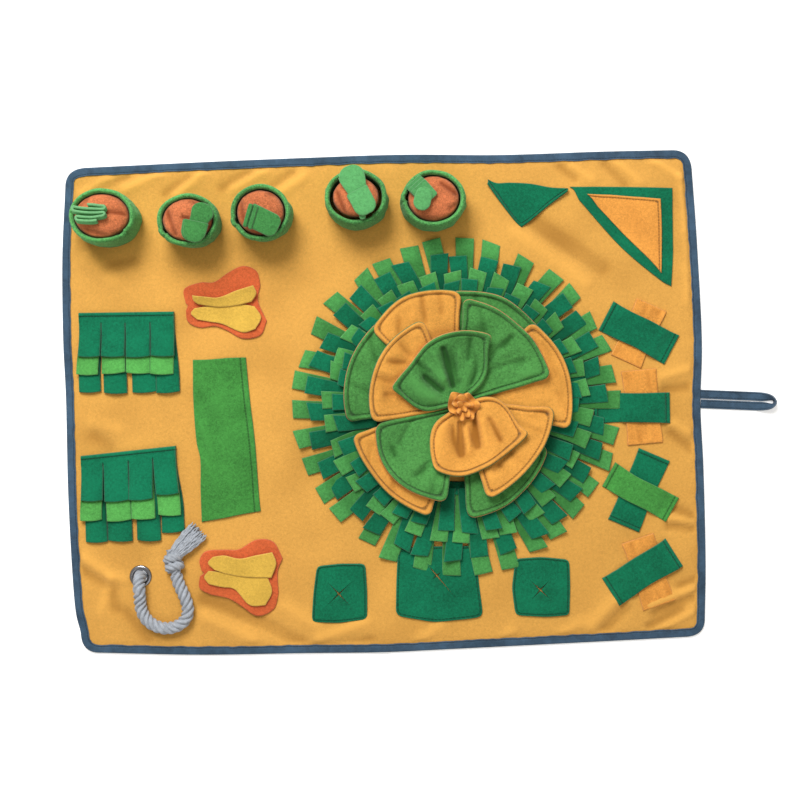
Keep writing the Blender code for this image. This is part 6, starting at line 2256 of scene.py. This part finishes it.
    def fringe(self, number: int, row: tuple, chance: np.random.Generator) -> None:
        """A ring of fringe: a backing that rises from its seam and strips that reach out from it, twisting
        and curling past the tips of the ring above.

        Args:
            number: its place from the lowest.
            row: its row of the table.
            chance: gives the strips' places in the same order as the solids'.
        """
        inner, root, tip, root_wide, tip_wide, turn, root_stray, tip_stray = row
        count = self.strips
        even = turn + 360.0 / count * np.arange(count)
        root_turn = even + chance.uniform(-root_stray, root_stray, count)
        tip_turn = even + chance.uniform(-tip_stray, tip_stray, count)
        reach_turns, reach = np.array(self.ring_reach, float).T
        lowest = number == 1
        longer = np.interp(even, reach_turns, reach, period=360) * (1.0 if lowest else 0.5)
        far = tip + longer + chance.uniform(-3.5, 2.5, count)
        drop = chance.uniform(-0.12, 0.12, count)
        level = self.ring_level + self.ring_space * (number - 1)
        own = np.random.default_rng(400 + number)
        across, down = stations(1.0, *self.strip_across), stations(1.0, *self.strip_down)
        slant = own.uniform(-2.2, 2.2, count)[:, None, None]
        s, q = (across - 0.5)[None, :, None], down[None, None, :]
        start, end = np.radians(root_turn)[:, None, None], np.radians(tip_turn)[:, None, None]
        reach_out = far[:, None, None] + 2 * slant * s * q
        begin = root - self.strip_root
        radius = begin + (reach_out - begin) * q
        free = np.clip((radius - root) / (far[:, None, None] - root), 0, 1)
        middle = start + (end - start) * free
        wide = root_wide + (tip_wide - root_wide) * free
        bend = own.uniform(-4.2, 4.2, count)[:, None, None] * q**2
        y_side = wide * s + bend
        x = self.middle[0] + radius * np.cos(middle) - y_side * np.sin(middle)
        y = self.middle[1] + radius * np.sin(middle) + y_side * np.cos(middle)
        free_from = self.rings[number][2] if number < len(self.rings) else self.covered
        past = np.clip((radius - free_from + 4) / 24.0, 0, 1.4)
        twist = own.uniform(-2.0, 2.0, count)[:, None, None]
        curl = own.uniform(-1.0, 3.4, count)[:, None, None]
        if lowest:
            curl = curl - 1.2
        cup = own.uniform(-2.2, 0.4, count)[:, None, None]
        z = level + drop[:, None, None] * q + past * (twist * 2 * s + curl * past + cup * (2 * s) ** 2)
        z = np.maximum(z, LEVEL_1 + 0.15 + (number - 1) * 1.65)
        side = wide * (0.5 - np.abs(s))
        length = far[:, None, None] - begin
        inward = np.minimum(side, length * (1 - q))
        inward = np.minimum(inward, 3.0 + radius - begin)
        thick = Hem(cloth=self.ring_thick, edge=0.55, round=0.9).thick(inward)
        along = np.where(side < length * (1 - q), radius, wide * s + 300)
        form = Form()
        bottom = np.stack([x, y, z], axis=-1)
        # Painted shade and highlight of random strength for each strip
        tone = own.uniform(-0.16, 0.22, count)[:, None, None]
        # Painted shade where a strip comes out from under the ring or the petals above
        deep = tone + 0.55 * np.exp(-np.clip(radius - free_from, 0, None) / 5.0)
        marks = mark(along, inward, deep=deep)
        for k in range(count):
            form.shell(bottom[k] + UP * thick[k][..., None], bottom[k], marks[k])
        self.backing(form, inner, root, level)
        light = number % 2 == 1
        name = f"fringe_strips_{number}"
        finish_name, slot = ("light_fringe", Slot.LIGHT) if light else ("dark", Slot.DARK)
        thing = dress(form.put(name, self.finishes.get(finish_name)), [f"fringe_ring_{number}"])
        strip = 0.5 * (root_wide + tip_wide) * (tip - root + self.strip_root)
        area = math.pi * (root**2 - inner**2) + count * strip
        max(area, 1.21 * tip**2) * MM * MM

    def backing(self, form: Form, inner: float, root: float, level: float) -> None:
        """Adds a ring's backing, a band that rises from the mat to its level."""
        turn = TAU * np.arange(120)[:, None] / 120
        share = np.linspace(0, 1, 7)[None]
        radius = inner + (root - 2 - inner) * share
        z = LEVEL_1 + 0.1 + (level - LEVEL_1) * ease(share, -0.1, 1.05)
        bottom = around(self.middle, radius, turn, z)
        form.shell(bottom + UP * (self.ring_thick - 0.3), bottom, mark(turn * radius, 5 + radius), wrap=True)

    def height(self, radius: Array, level: float, rise: float) -> Array:
        """The lower face of a petal: a bowl by radius, raised by its level and towards its rim."""
        return table(self.floor, radius) + level * self.petal_space + rise * (radius / 100) ** 2

    def fan(self, form: Form, name: str, row: tuple, level: int, rise: float, root: float, seed: int) -> None:
        """A fan petal: a grid across and out with round corners, a puffed hem, cloth that gathers towards the
        root in uneven folds, broad swells, its own creases and a waving rim.

        Args:
            form: takes it.
            name: the CAD node, which gives its creases.
            row: its start, end, root spreads and rim radii.
            level: its level from the lowest, which gives its tier.
            rise: how far its rim rises above the level.
            root: the radius of its root.
            seed: gives its unevenness.
        """
        start, end, wider_start, wider_end, *rim = row
        tier = TIERS[level]
        arc = math.radians(end - start) * np.mean(rim)
        u = stations(arc, self.petal_step) / arc
        edge = spline(np.array(rim, float)[:, None], u * (len(rim) - 1))[:, 0]
        edge = edge + 0.9 * ripple(np.column_stack([u * arc, 0 * u]), 60, seed)
        from_side = np.minimum(u, 1 - u) * arc
        edge = edge - tier.corner * (1 - rounding(from_side, tier.corner))
        share = stations(1.0, *self.petal_out)
        radius = root + (edge - root)[:, None] * share
        spread = 1 - ease(radius, 24, 80)
        first, last = start - wider_start * spread, end + wider_end * spread
        degrees = first + (last - first) * u[:, None]
        sway = 1.3 * ripple(np.stack([radius, degrees * 0.6], axis=-1), 44, seed + 3) * (radius / 90)
        bent = np.radians(degrees) + sway / np.maximum(radius, 20)
        x, y = self.middle[0] + radius * np.cos(bent), self.middle[1] + radius * np.sin(bent)
        side = np.minimum(degrees - first, last - degrees) * math.pi / 180 * radius
        out = edge[:, None] - radius
        inward = side * out / np.sqrt(side**2 + out**2 + 1e-9)
        inward = np.minimum(inward, 6 + radius - root)
        grid = np.stack([x, y], axis=-1)
        bare = ease(radius, tier.shown - 14, tier.shown + 6)
        across = np.stack([u[:, None] * arc + 0 * radius, radius * 0.12], axis=-1)
        fold = 2.6 * np.abs(ripple(across, tier.fold, seed + 6)) - 1
        pull = tier.fold_share * bell(radius, tier.fold_at, 26)
        gather = tier.fold_high * fold * pull * ease(inward, 3, 9) * ease(radius, 13, 30)
        swell = tier.swell * ripple(grid, 44, seed + 12) * ease(inward, 5, 14)
        curl = ease(-out, -18, 0) * 2.1 * np.clip(ripple(grid, 46, seed + 9), -0.35, 1.0) * bare
        side_curl = np.clip(ripple(grid, 40, seed + 15), 0, 1)
        curl = curl + tier.side_lift * ease(-side, -10, 0) * side_curl * bare
        low = self.height(radius, level, rise) + curl + tier.raised
        dent = self.crease_scale * (folds(grid, self.creases[name]) * ease(inward, 1.0, 6.5))
        lift = np.maximum((gather + swell) * bare + dent, -tier.room - 1.8)
        top = low + self.petal_hem.thick(inward) + lift
        sunk = np.minimum(low + np.minimum(lift + 0.6, 0), top - self.petal_hem.edge)
        bottom_z = np.maximum(sunk, low - tier.room)
        tuck = 0.8 * np.exp(-out / 1.2)
        top_x = x - tuck * np.cos(bent)
        top_y = y - tuck * np.sin(bent)
        along = np.where(side < out, radius, np.radians(degrees) * radius)
        # Painted shade in the troughs of the gathers and creases, a painted highlight on their ridges, with
        # random tone
        pulled = -(gather + dent) / 3.6 * bare
        deep = np.clip(pulled * np.sqrt(np.abs(pulled)), -0.7, 1.0) + 0.20 * ripple(grid, 40, seed + 21)
        upper, lower = np.stack([top_x, top_y, top], axis=-1), np.stack([x, y, bottom_z], axis=-1)
        form.shell(upper, lower, mark(along, inward, deep=deep), slots=(0, 1, 1))

    def petal(self, name: str, level: int, rise: float, finish: str, fans: tuple) -> None:
        """A petal node: its fans, which meet in a flat hub where there are several.

        Args:
            name: the CAD node.
            level: its level from the lowest, which gives its tier.
            rise: how far its rim rises above the level.
            finish: its upper face.
            fans: the rows of its fans.
        """
        form = Form()
        seed = 500 + 50 * [row[0] for row in self.petals].index(name)
        several = len(fans) > 1
        root = self.hub - 4 if several else 9.0
        for k, row in enumerate(fans):
            self.fan(form, name, row, level, rise, root, seed + 17 * k)
        if several:
            turn = TAU * np.arange(90)[:, None] / 90
            radius = np.linspace(self.floor[0][0], self.hub + 2, 8)[None]
            bottom = around(self.middle, radius, turn, self.height(radius, level, rise))
            form.shell(bottom + UP * 2.0, bottom, mark(turn * 20, radius), wrap=True)
        other = "petal_green" if finish == "petal_orange" else "petal_orange"
        thing = form.put(name.replace("petal", "fan_petal"), self.finishes.get(finish, other))
        dress(thing, [name])
        area = sum(math.pi * (row[1] - row[0]) / 360 * (np.mean(row[4:]) ** 2 - root**2) for row in fans)
        if several:
            area += math.pi * self.hub**2
            wide = 2 * max(max(row[4:]) for row in fans)
            flat = (wide, wide)
        else:
            start, end, *_ = fans[0]
            long = max(fans[0][4:])
            flat = (2 * long * math.sin(math.radians((end - start) / 2)), long)
            area *= 1.35 if TIERS[level] is TOP_TIER else 1.1
        area = fair_area(area, *flat)
        flat[0] * MM
        flat[1] * MM
        area * MM * MM

    def ruffle(self) -> None:
        """The centre: a strip of cloth gathered into three rounds of frills, each a disc whose waves grow
        towards its rim and lean over the hollows beside them."""
        form = Form()
        for near, far, rise, high, frills, lean, start in self.ruffles:
            count = 40 * frills
            turn = TAU * np.arange(count)[:, None] / count
            share = stations(1.0, *self.frill_out)[None]
            phase = frills * turn + 1.1 * np.sin(turn + start) + 0.7 * np.sin(2 * turn + 3 * start)
            wide = 1 + 0.14 * np.cos(2 * turn + start) + 0.08 * np.sin(3 * turn)
            radius = near + (far - near) * share * wide * (1 + 0.11 * np.sin(phase + 0.6))
            angle = turn + lean / frills * share * np.cos(phase)
            z = rise + high * share * (0.5 + 0.5 * np.sin(phase)) * (1 + 0.25 * np.sin(turn + 2 * start))
            bottom = around(self.centre, radius, angle, z)
            inward = (1 - share) * (far - near)
            square = facing(bottom)
            square *= np.sign(square[..., 2].mean())
            top = bottom + square * self.frill_hem.thick(inward)[..., None]
            # Painted shade towards the middle and in the frills' troughs, a painted highlight on their crests
            deep = 0.85 - 0.5 * share - 0.85 * share * np.sin(phase)
            form.shell(top, bottom, mark(turn * far, inward, deep=deep), wrap=True)
        thing = dress(form.put("frilled_centre", self.finishes.get("orange_plain")), ["petal_centre"])


def main() -> None:
    """Builds the scene: the camera and the rope first, then the mat and what is sewn on it."""
    logging.basicConfig(level=logging.INFO, format="%(message)s")
    Studio().build()
    finishes = Finishes()
    PullRope(finishes).build()
    BaseMat(finishes).build()
    CarrotRow(finishes).build()
    for piece in FLAT_PIECES:
        piece.build(finishes)
    FringePockets(finishes).build()
    SlitSquares(finishes).build()
    Straps(finishes).build()
    Flower(finishes).build()


if __name__ == "__main__":
    main()
